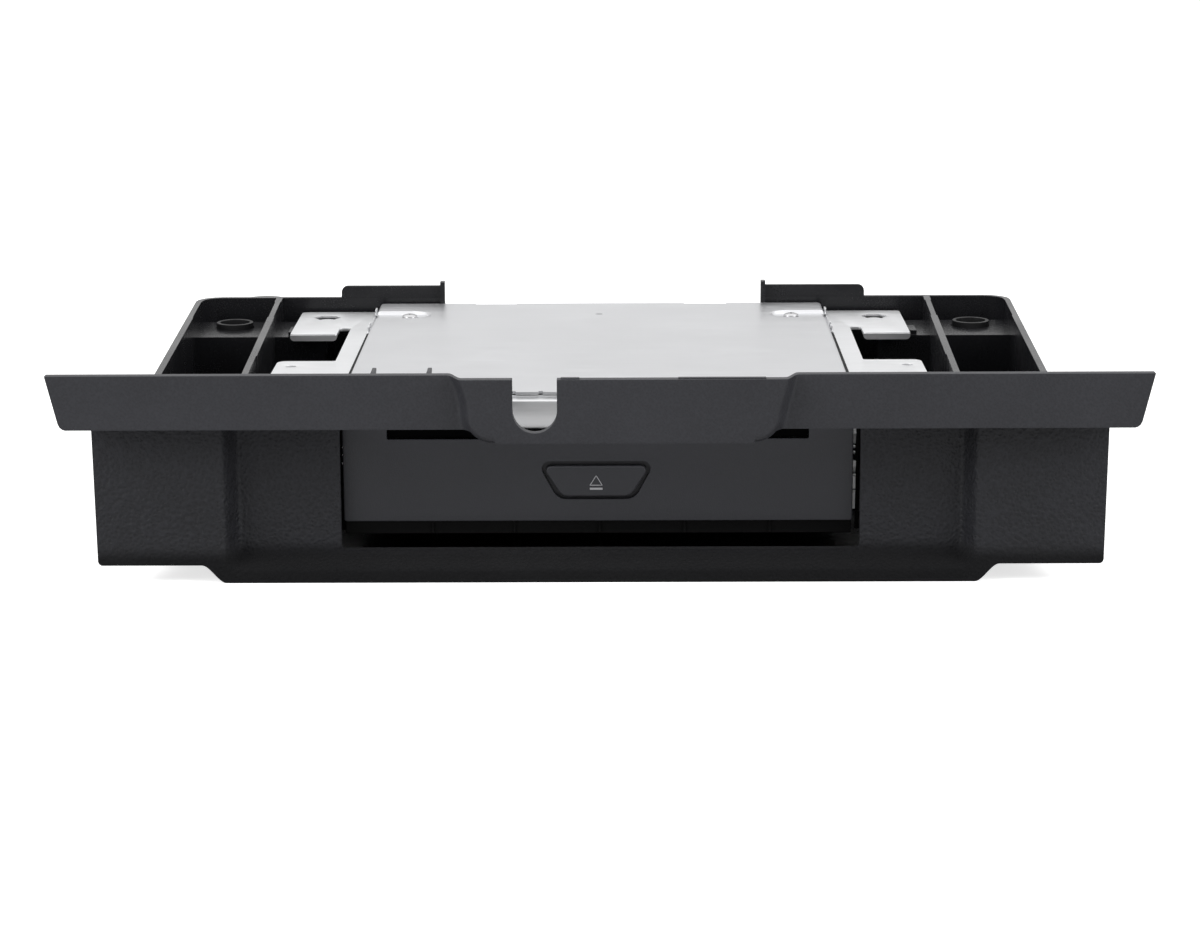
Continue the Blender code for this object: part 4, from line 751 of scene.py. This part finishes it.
def bracket(side, word):
    """A folded side bracket: a leg on the deck's side, a rounded fold, a strip and two tabs."""
    face, top, sheet, fold = 0.0893, 0.0595, 0.0012, 0.0020
    front, back, leg_low = deck_y + 0.004, deck_y + 0.1835, 0.0255
    turns = [math.pi / 2 * i / 6 for i in range(7)]
    path = [(face, leg_low), (face, (leg_low + top) / 2)]
    path += [(face + fold * (1 - math.cos(a)), top - fold * (1 - math.sin(a))) for a in turns]
    rows = spaced((front, back, 0.02))

    def place(index, y):
        x, z = path[index]
        return deck_x + side * x, y, z

    shape = pressed(list(range(len(path))), rows, place)
    bmesh.ops.solidify(shape, geom=shape.faces[:], thickness=sheet * side)
    bmesh.ops.recalc_face_normals(shape, faces=shape.faces[:])
    strip, start = 0.0980, face + fold
    rear, near = 0.1206, 0.1194
    tab, end, tongue = deck_y + 0.1335, deck_y + 0.0775, 0.1024
    corners = [(start, front), (near, front), (near, end), (strip, end), (strip, tab + 0.0130),
               (tongue, tab + 0.0130), (tongue, tab), (rear, tab), (rear, back), (start, back)]
    bends = [0, 0, 0.0035, 0.0012, 0.0008, 0.0012, 0.0010, 0.0010, 0.0018, 0]
    rear_hole, front_hole = (0.1095, deck_y + 0.1708), (0.1135, deck_y + 0.067)
    holes = [(rear_hole, 0.0110, 0.0110, 6), (front_hole, 0.0040, 0.0040, 14)]
    flat = bmesh.new()
    framed(flat, corners, bends, holes, lambda x, y: (deck_x + side * x, y, top), (0, 0, -sheet))
    seam = deck_x + side * start
    eased(flat, 0.00028, 3, wanted=lambda e: any(abs(v.co.x - seam) > 0.00001 for v in e.verts))
    lip = [(tongue, top - 0.0026), (rear, top - 0.0026), (rear, top - 0.0003), (tongue, top - 0.0003)]
    framed(flat, lip, [0.0016, 0.0016, 0, 0], [], lambda x, z: (deck_x + side * x, tab - 0.0008, z),
           (0, sheet, 0))
    mesh = bpy.data.meshes.new("bracket_flat")
    flat.to_mesh(mesh)
    flat.free()
    shape.from_mesh(mesh)
    for spot, size in ((rear_hole, 0.0034), (front_hole, 0.0015)):
        dimple = bmesh.ops.create_uvsphere(shape, u_segments=20, v_segments=8, radius=size)["verts"]
        lower = [v for v in dimple if v.co.z > 0.0001]
        bmesh.ops.delete(shape, geom=lower, context="VERTS")
        left = [v for v in dimple if v.is_valid]
        rim = [e for e in shape.edges if e.is_boundary]
        bmesh.ops.holes_fill(shape, edges=rim, sides=0)
        bmesh.ops.scale(shape, verts=left, vec=(1, 1, 0.22))
        bmesh.ops.translate(shape, verts=left, vec=(deck_x + side * spot[0], spot[1], top - sheet))
    piece = made_piece(f"deck_bracket_{word}", shape, "zinc_sheet")
    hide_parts(f"side_bracket_{word}")


def deck_cover():
    """The deck's pressed lid: folded sides and back, and two sunken corners open to the side."""
    half, top, low, sheet, fold = 0.0890, deck_z + 0.050, deck_z + 0.043, 0.0010, 0.0014
    front, back, middle = deck_y, deck_y + 0.184, deck_y + 0.157
    turns = [math.pi / 2 * i / 6 for i in range(7)]
    across = spaced((-half + fold, -0.0640, 0.0006), (-0.0640, -0.0505, 0.0135), (-0.0505, -0.0338, 0.0167),
                    (-0.0338, 0.0338, 0.0169), (0.0338, 0.0505, 0.0167), (0.0505, 0.0640, 0.0135),
                    (0.0640, half - fold, 0.0006))
    bend = [(half - fold + fold * math.sin(a), top - fold + fold * math.cos(a)) for a in turns[1:]]
    bend += [(half, (top + low) / 2), (half, low)]
    path = [(-x, z) for x, z in reversed(bend)] + [(x, top) for x in across] + bend
    along = spaced((front, deck_y + 0.1475, 0.0180), (deck_y + 0.1475, deck_y + 0.1512, 0.0004),
                   (deck_y + 0.1512, deck_y + 0.1628, 0.0012), (deck_y + 0.1628, deck_y + 0.1665, 0.0004),
                   (deck_y + 0.1665, back - fold - 0.0016, 0.0050),
                   (back - fold - 0.0016, back - fold, 0.0016))
    rows = [(y, 0.0) for y in along] + [(back - fold + fold * math.sin(a), fold - fold * math.cos(a))
                                        for a in turns[1:]] + [(back, top - low)]

    def place(column, row):
        x, z = path[column]
        y, drop = rows[row]
        end = 0.0675 + 0.00775
        inside = 0.00775 - math.hypot(max(end - abs(x), 0.0), y - middle)
        sunk = 0.0012 * settled(inside, -0.0003, 0.0008) * (z - low) / (top - low)
        return deck_x + x, y, z - drop - sunk

    def keep(column, row):
        x = path[int(column)][0]
        y, drop = rows[int(row)]
        relieved = 0.0338 <= min(abs(x), abs(path[int(column) + 1][0])) < 0.0505
        if drop or rows[int(row) + 1][1]:
            flat = abs(x) < half - fold and abs(path[int(column) + 1][0]) < half - fold + 0.0001
            return flat and not relieved
        return not (relieved and y > back - fold - 0.0017)

    shape = pressed(list(range(len(path))), list(range(len(rows))), place, keep)
    sheeted(shape, sheet)
    cover = made_piece("deck_top_cover", shape, "zinc_sheet", surface=bright_sheet)
    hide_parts("top_cover")
    openings = ((-0.0005, deck_y + 0.1572, 0.0030, 0.0016), (-0.0292, deck_y + 0.0006, 0.0016, 0.0028),
                (-0.0198, deck_y + 0.0006, 0.0016, 0.0028))
    for x, y, wide, tall in openings:
        hole = bmesh.new()
        ring = bmesh.ops.create_cone(hole, cap_ends=True, segments=24, radius1=0.5, radius2=0.5,
                                     depth=0.004)["verts"]
        bmesh.ops.scale(hole, verts=ring, vec=(wide, tall, 1))
        bmesh.ops.translate(hole, verts=ring, vec=(deck_x + x, y, top))
        bored(cover, hole)


def gap_details():
    """What shows between the panel and the window: a folded earthing spring, with near-black sheets behind it
    as painted shade.
    """
    left, right, back = deck_x + 0.0886, deck_x + 0.0902, deck_y + 0.0035
    spring = bmesh.new()
    near, far = left + 0.0003, right - 0.0002
    for low, high, out in ((0.0476, 0.0500, 0.0026), (0.0359, 0.0379, 0.0026), (0.0278, 0.0324, 0.0016),
                           (0.0328, 0.0331, 0.0024), (0.0269, 0.0273, 0.0022)):
        slab(spring, (near, back - out, low), (far, back - 0.0002, high))
    for low, high, top_out, low_out in ((0.0436, 0.0474, 0.0022, 0.0004), (0.0333, 0.0358, 0.0024, 0.0006),
                                        (0.0203, 0.0265, 0.0014, 0.0004)):
        plate = slab(spring, (near, back - 0.0003, low), (far, back - 0.0002, high))
        for vertex in plate:
            if vertex.co.y < back - 0.00025:
                vertex.co.y = back - (top_out if vertex.co.z > low + 0.0001 else low_out)
    for z in (0.0409, 0.0429):
        stud = bmesh.ops.create_uvsphere(spring, u_segments=12, v_segments=8, radius=0.0006)["verts"]
        bmesh.ops.translate(spring, verts=stud, vec=(near + 0.0004, back - 0.0016, z))
    eased(spring, 0.00008, 1)
    made_piece("earthing_spring", spring, "zinc_sheet")
    # Near-black sheets behind the spring and at the gap's left edge: painted shade.
    gap_shade = bmesh.new()
    slab(gap_shade, (-gap_shade_x, back - 0.0016, 0.0134), (-gap_shade_x + 0.0024, back - 0.0001, 0.0560))
    slab(gap_shade, (right - 0.0003, back - 0.0016, 0.0134), (right + 0.0012, back - 0.0001, 0.0196))
    slab(gap_shade, (left - 0.0004, back, 0.0196), (right + 0.0012, back + 0.0005, 0.0565))
    eased(gap_shade, 0.0002, 2)
    made_piece("gap_painted_shade", gap_shade, "black_plastic", surface=deep_black)
    studs = bmesh.new()
    for z, wide in ((0.0373, 0.00042), (0.0402, 0.00034), (0.0430, 0.00028)):
        stud = bmesh.ops.create_uvsphere(studs, u_segments=12, v_segments=8, radius=wide)["verts"]
        bmesh.ops.translate(studs, verts=stud, vec=(-gap_shade_x + 0.0016, back - 0.0016, z))
    made_piece("gap_studs", studs, "zinc_sheet")


def cover_fittings():
    """Domed screws in the sunken corners, the spring clips along the cover's sides, and a near-black strip at
    each side seam as painted shadow.
    """
    for side, word in ((-1, "left"), (1, "right")):
        spot, cross = (deck_x + side * screw_x, screw_y, screw_z), []
        dome = bmesh.new()
        turned = bmesh.ops.create_uvsphere(dome, u_segments=40, v_segments=16, radius=0.0030)["verts"]
        low = [v for v in turned if v.co.z < -0.0001]
        bmesh.ops.delete(dome, geom=low, context="VERTS")
        kept = [v for v in turned if v.is_valid]
        bmesh.ops.scale(dome, verts=kept, vec=(1, 1, 0.38))
        rim = [e for e in dome.edges if e.is_boundary]
        pulled = bmesh.ops.extrude_edge_only(dome, edges=rim)["geom"]
        skirt = [v for v in pulled if isinstance(v, bmesh.types.BMVert)]
        bmesh.ops.translate(dome, verts=skirt, vec=(0, 0, -0.0003))
        bmesh.ops.holes_fill(dome, edges=[e for e in dome.edges if e.is_boundary], sides=0)
        for turn in (0, math.pi / 2):
            slot_box = bmesh.new()
            made = slab(slot_box, (-0.0013, -0.00028, 0.0004), (0.0013, 0.00028, 0.0016))
            bmesh.ops.rotate(slot_box, verts=made, matrix=Matrix.Rotation(turn, 3, "Z"))
            bmesh.ops.translate(slot_box, verts=slot_box.verts, vec=spot)
            cross.append(slot_box)
        bmesh.ops.translate(dome, verts=dome.verts, vec=spot)
        head = made_piece(f"cover_screw_head_{word}", dome, "steel")
        while cross:
            bored(head, cross.pop())
        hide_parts(f"cover_screw_{word}")
        clips = bmesh.new()
        for y, long in ((0.1340, 0.0044), (0.1420, 0.0030), (0.1735, 0.0050)):
            x = side * 0.0899
            near, far = sorted((deck_x + side * 0.0884, deck_x + side * 0.0906))
            slab(clips, (near, deck_y + y, 0.0596), (far, deck_y + y + long, 0.0601))
            near, far = sorted((deck_x + x - side * 0.0002, deck_x + x + side * 0.0006))
            slab(clips, (near, deck_y + y + 0.0006, 0.0600), (far, deck_y + y + long - 0.0006, 0.0622))
        eased(clips, 0.00018, 2)
        made_piece(f"side_clips_{word}", clips, "zinc_sheet")
        # A near-black strip along each side seam: painted shadow in the gap between cover and bracket.
        seam = bmesh.new()
        near, far = sorted((deck_x + side * 0.0895, deck_x + side * 0.0911))
        strip = slab(seam, (near, deck_y + 0.0045, 0.0585), (far, deck_y + 0.1330, 0.0597))
        for vertex in strip:
            if vertex.co.y > deck_y + 0.1 and abs(vertex.co.x - deck_x) > 0.0905:
                vertex.co.x -= side * 0.0004
        made_piece(f"cover_seam_shadow_{word}", seam, "black_plastic", surface=deep_black)


def socket_pins():
    """Two rows of flat contact pins standing in the harness socket."""
    low, high = (Vector(corner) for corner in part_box("rear_socket"))
    middle = (low + high) / 2
    pins = bmesh.new()
    for row in (-1, 1):
        for column in range(10):
            x = middle.x + (column - 4.5) * (high.x - low.x - 0.008) / 10
            z = middle.z + row * (high.z - low.z) * 0.17
            slab(pins, (x - 0.0004, high.y - 0.0060, z - 0.0006), (x + 0.0004, high.y - 0.0010, z + 0.0006))
    eased(pins, 0.00018, 1)
    made_piece("harness_pins", pins, "steel")


flange()
wing_plate()
flange_backing()
front_panel()
gap_details()
deck_cover()
cover_fittings()
socket_pins()
softened("carrier_tray", "carrier_moulding", 0.0005)
softened("chassis_tub", "deck_lower_body", 0.0004)
softened("boss_sleeve_left", "boss_sleeve_rim_left", 0.0003)
softened("boss_sleeve_right", "boss_sleeve_rim_right", 0.0003)
softened("rear_socket", "harness_socket", 0.0003)
eject_button()
bracket(-1, "left")
bracket(1, "right")
studio()
photographer()
bpy.context.scene.view_settings.view_transform = "Standard"
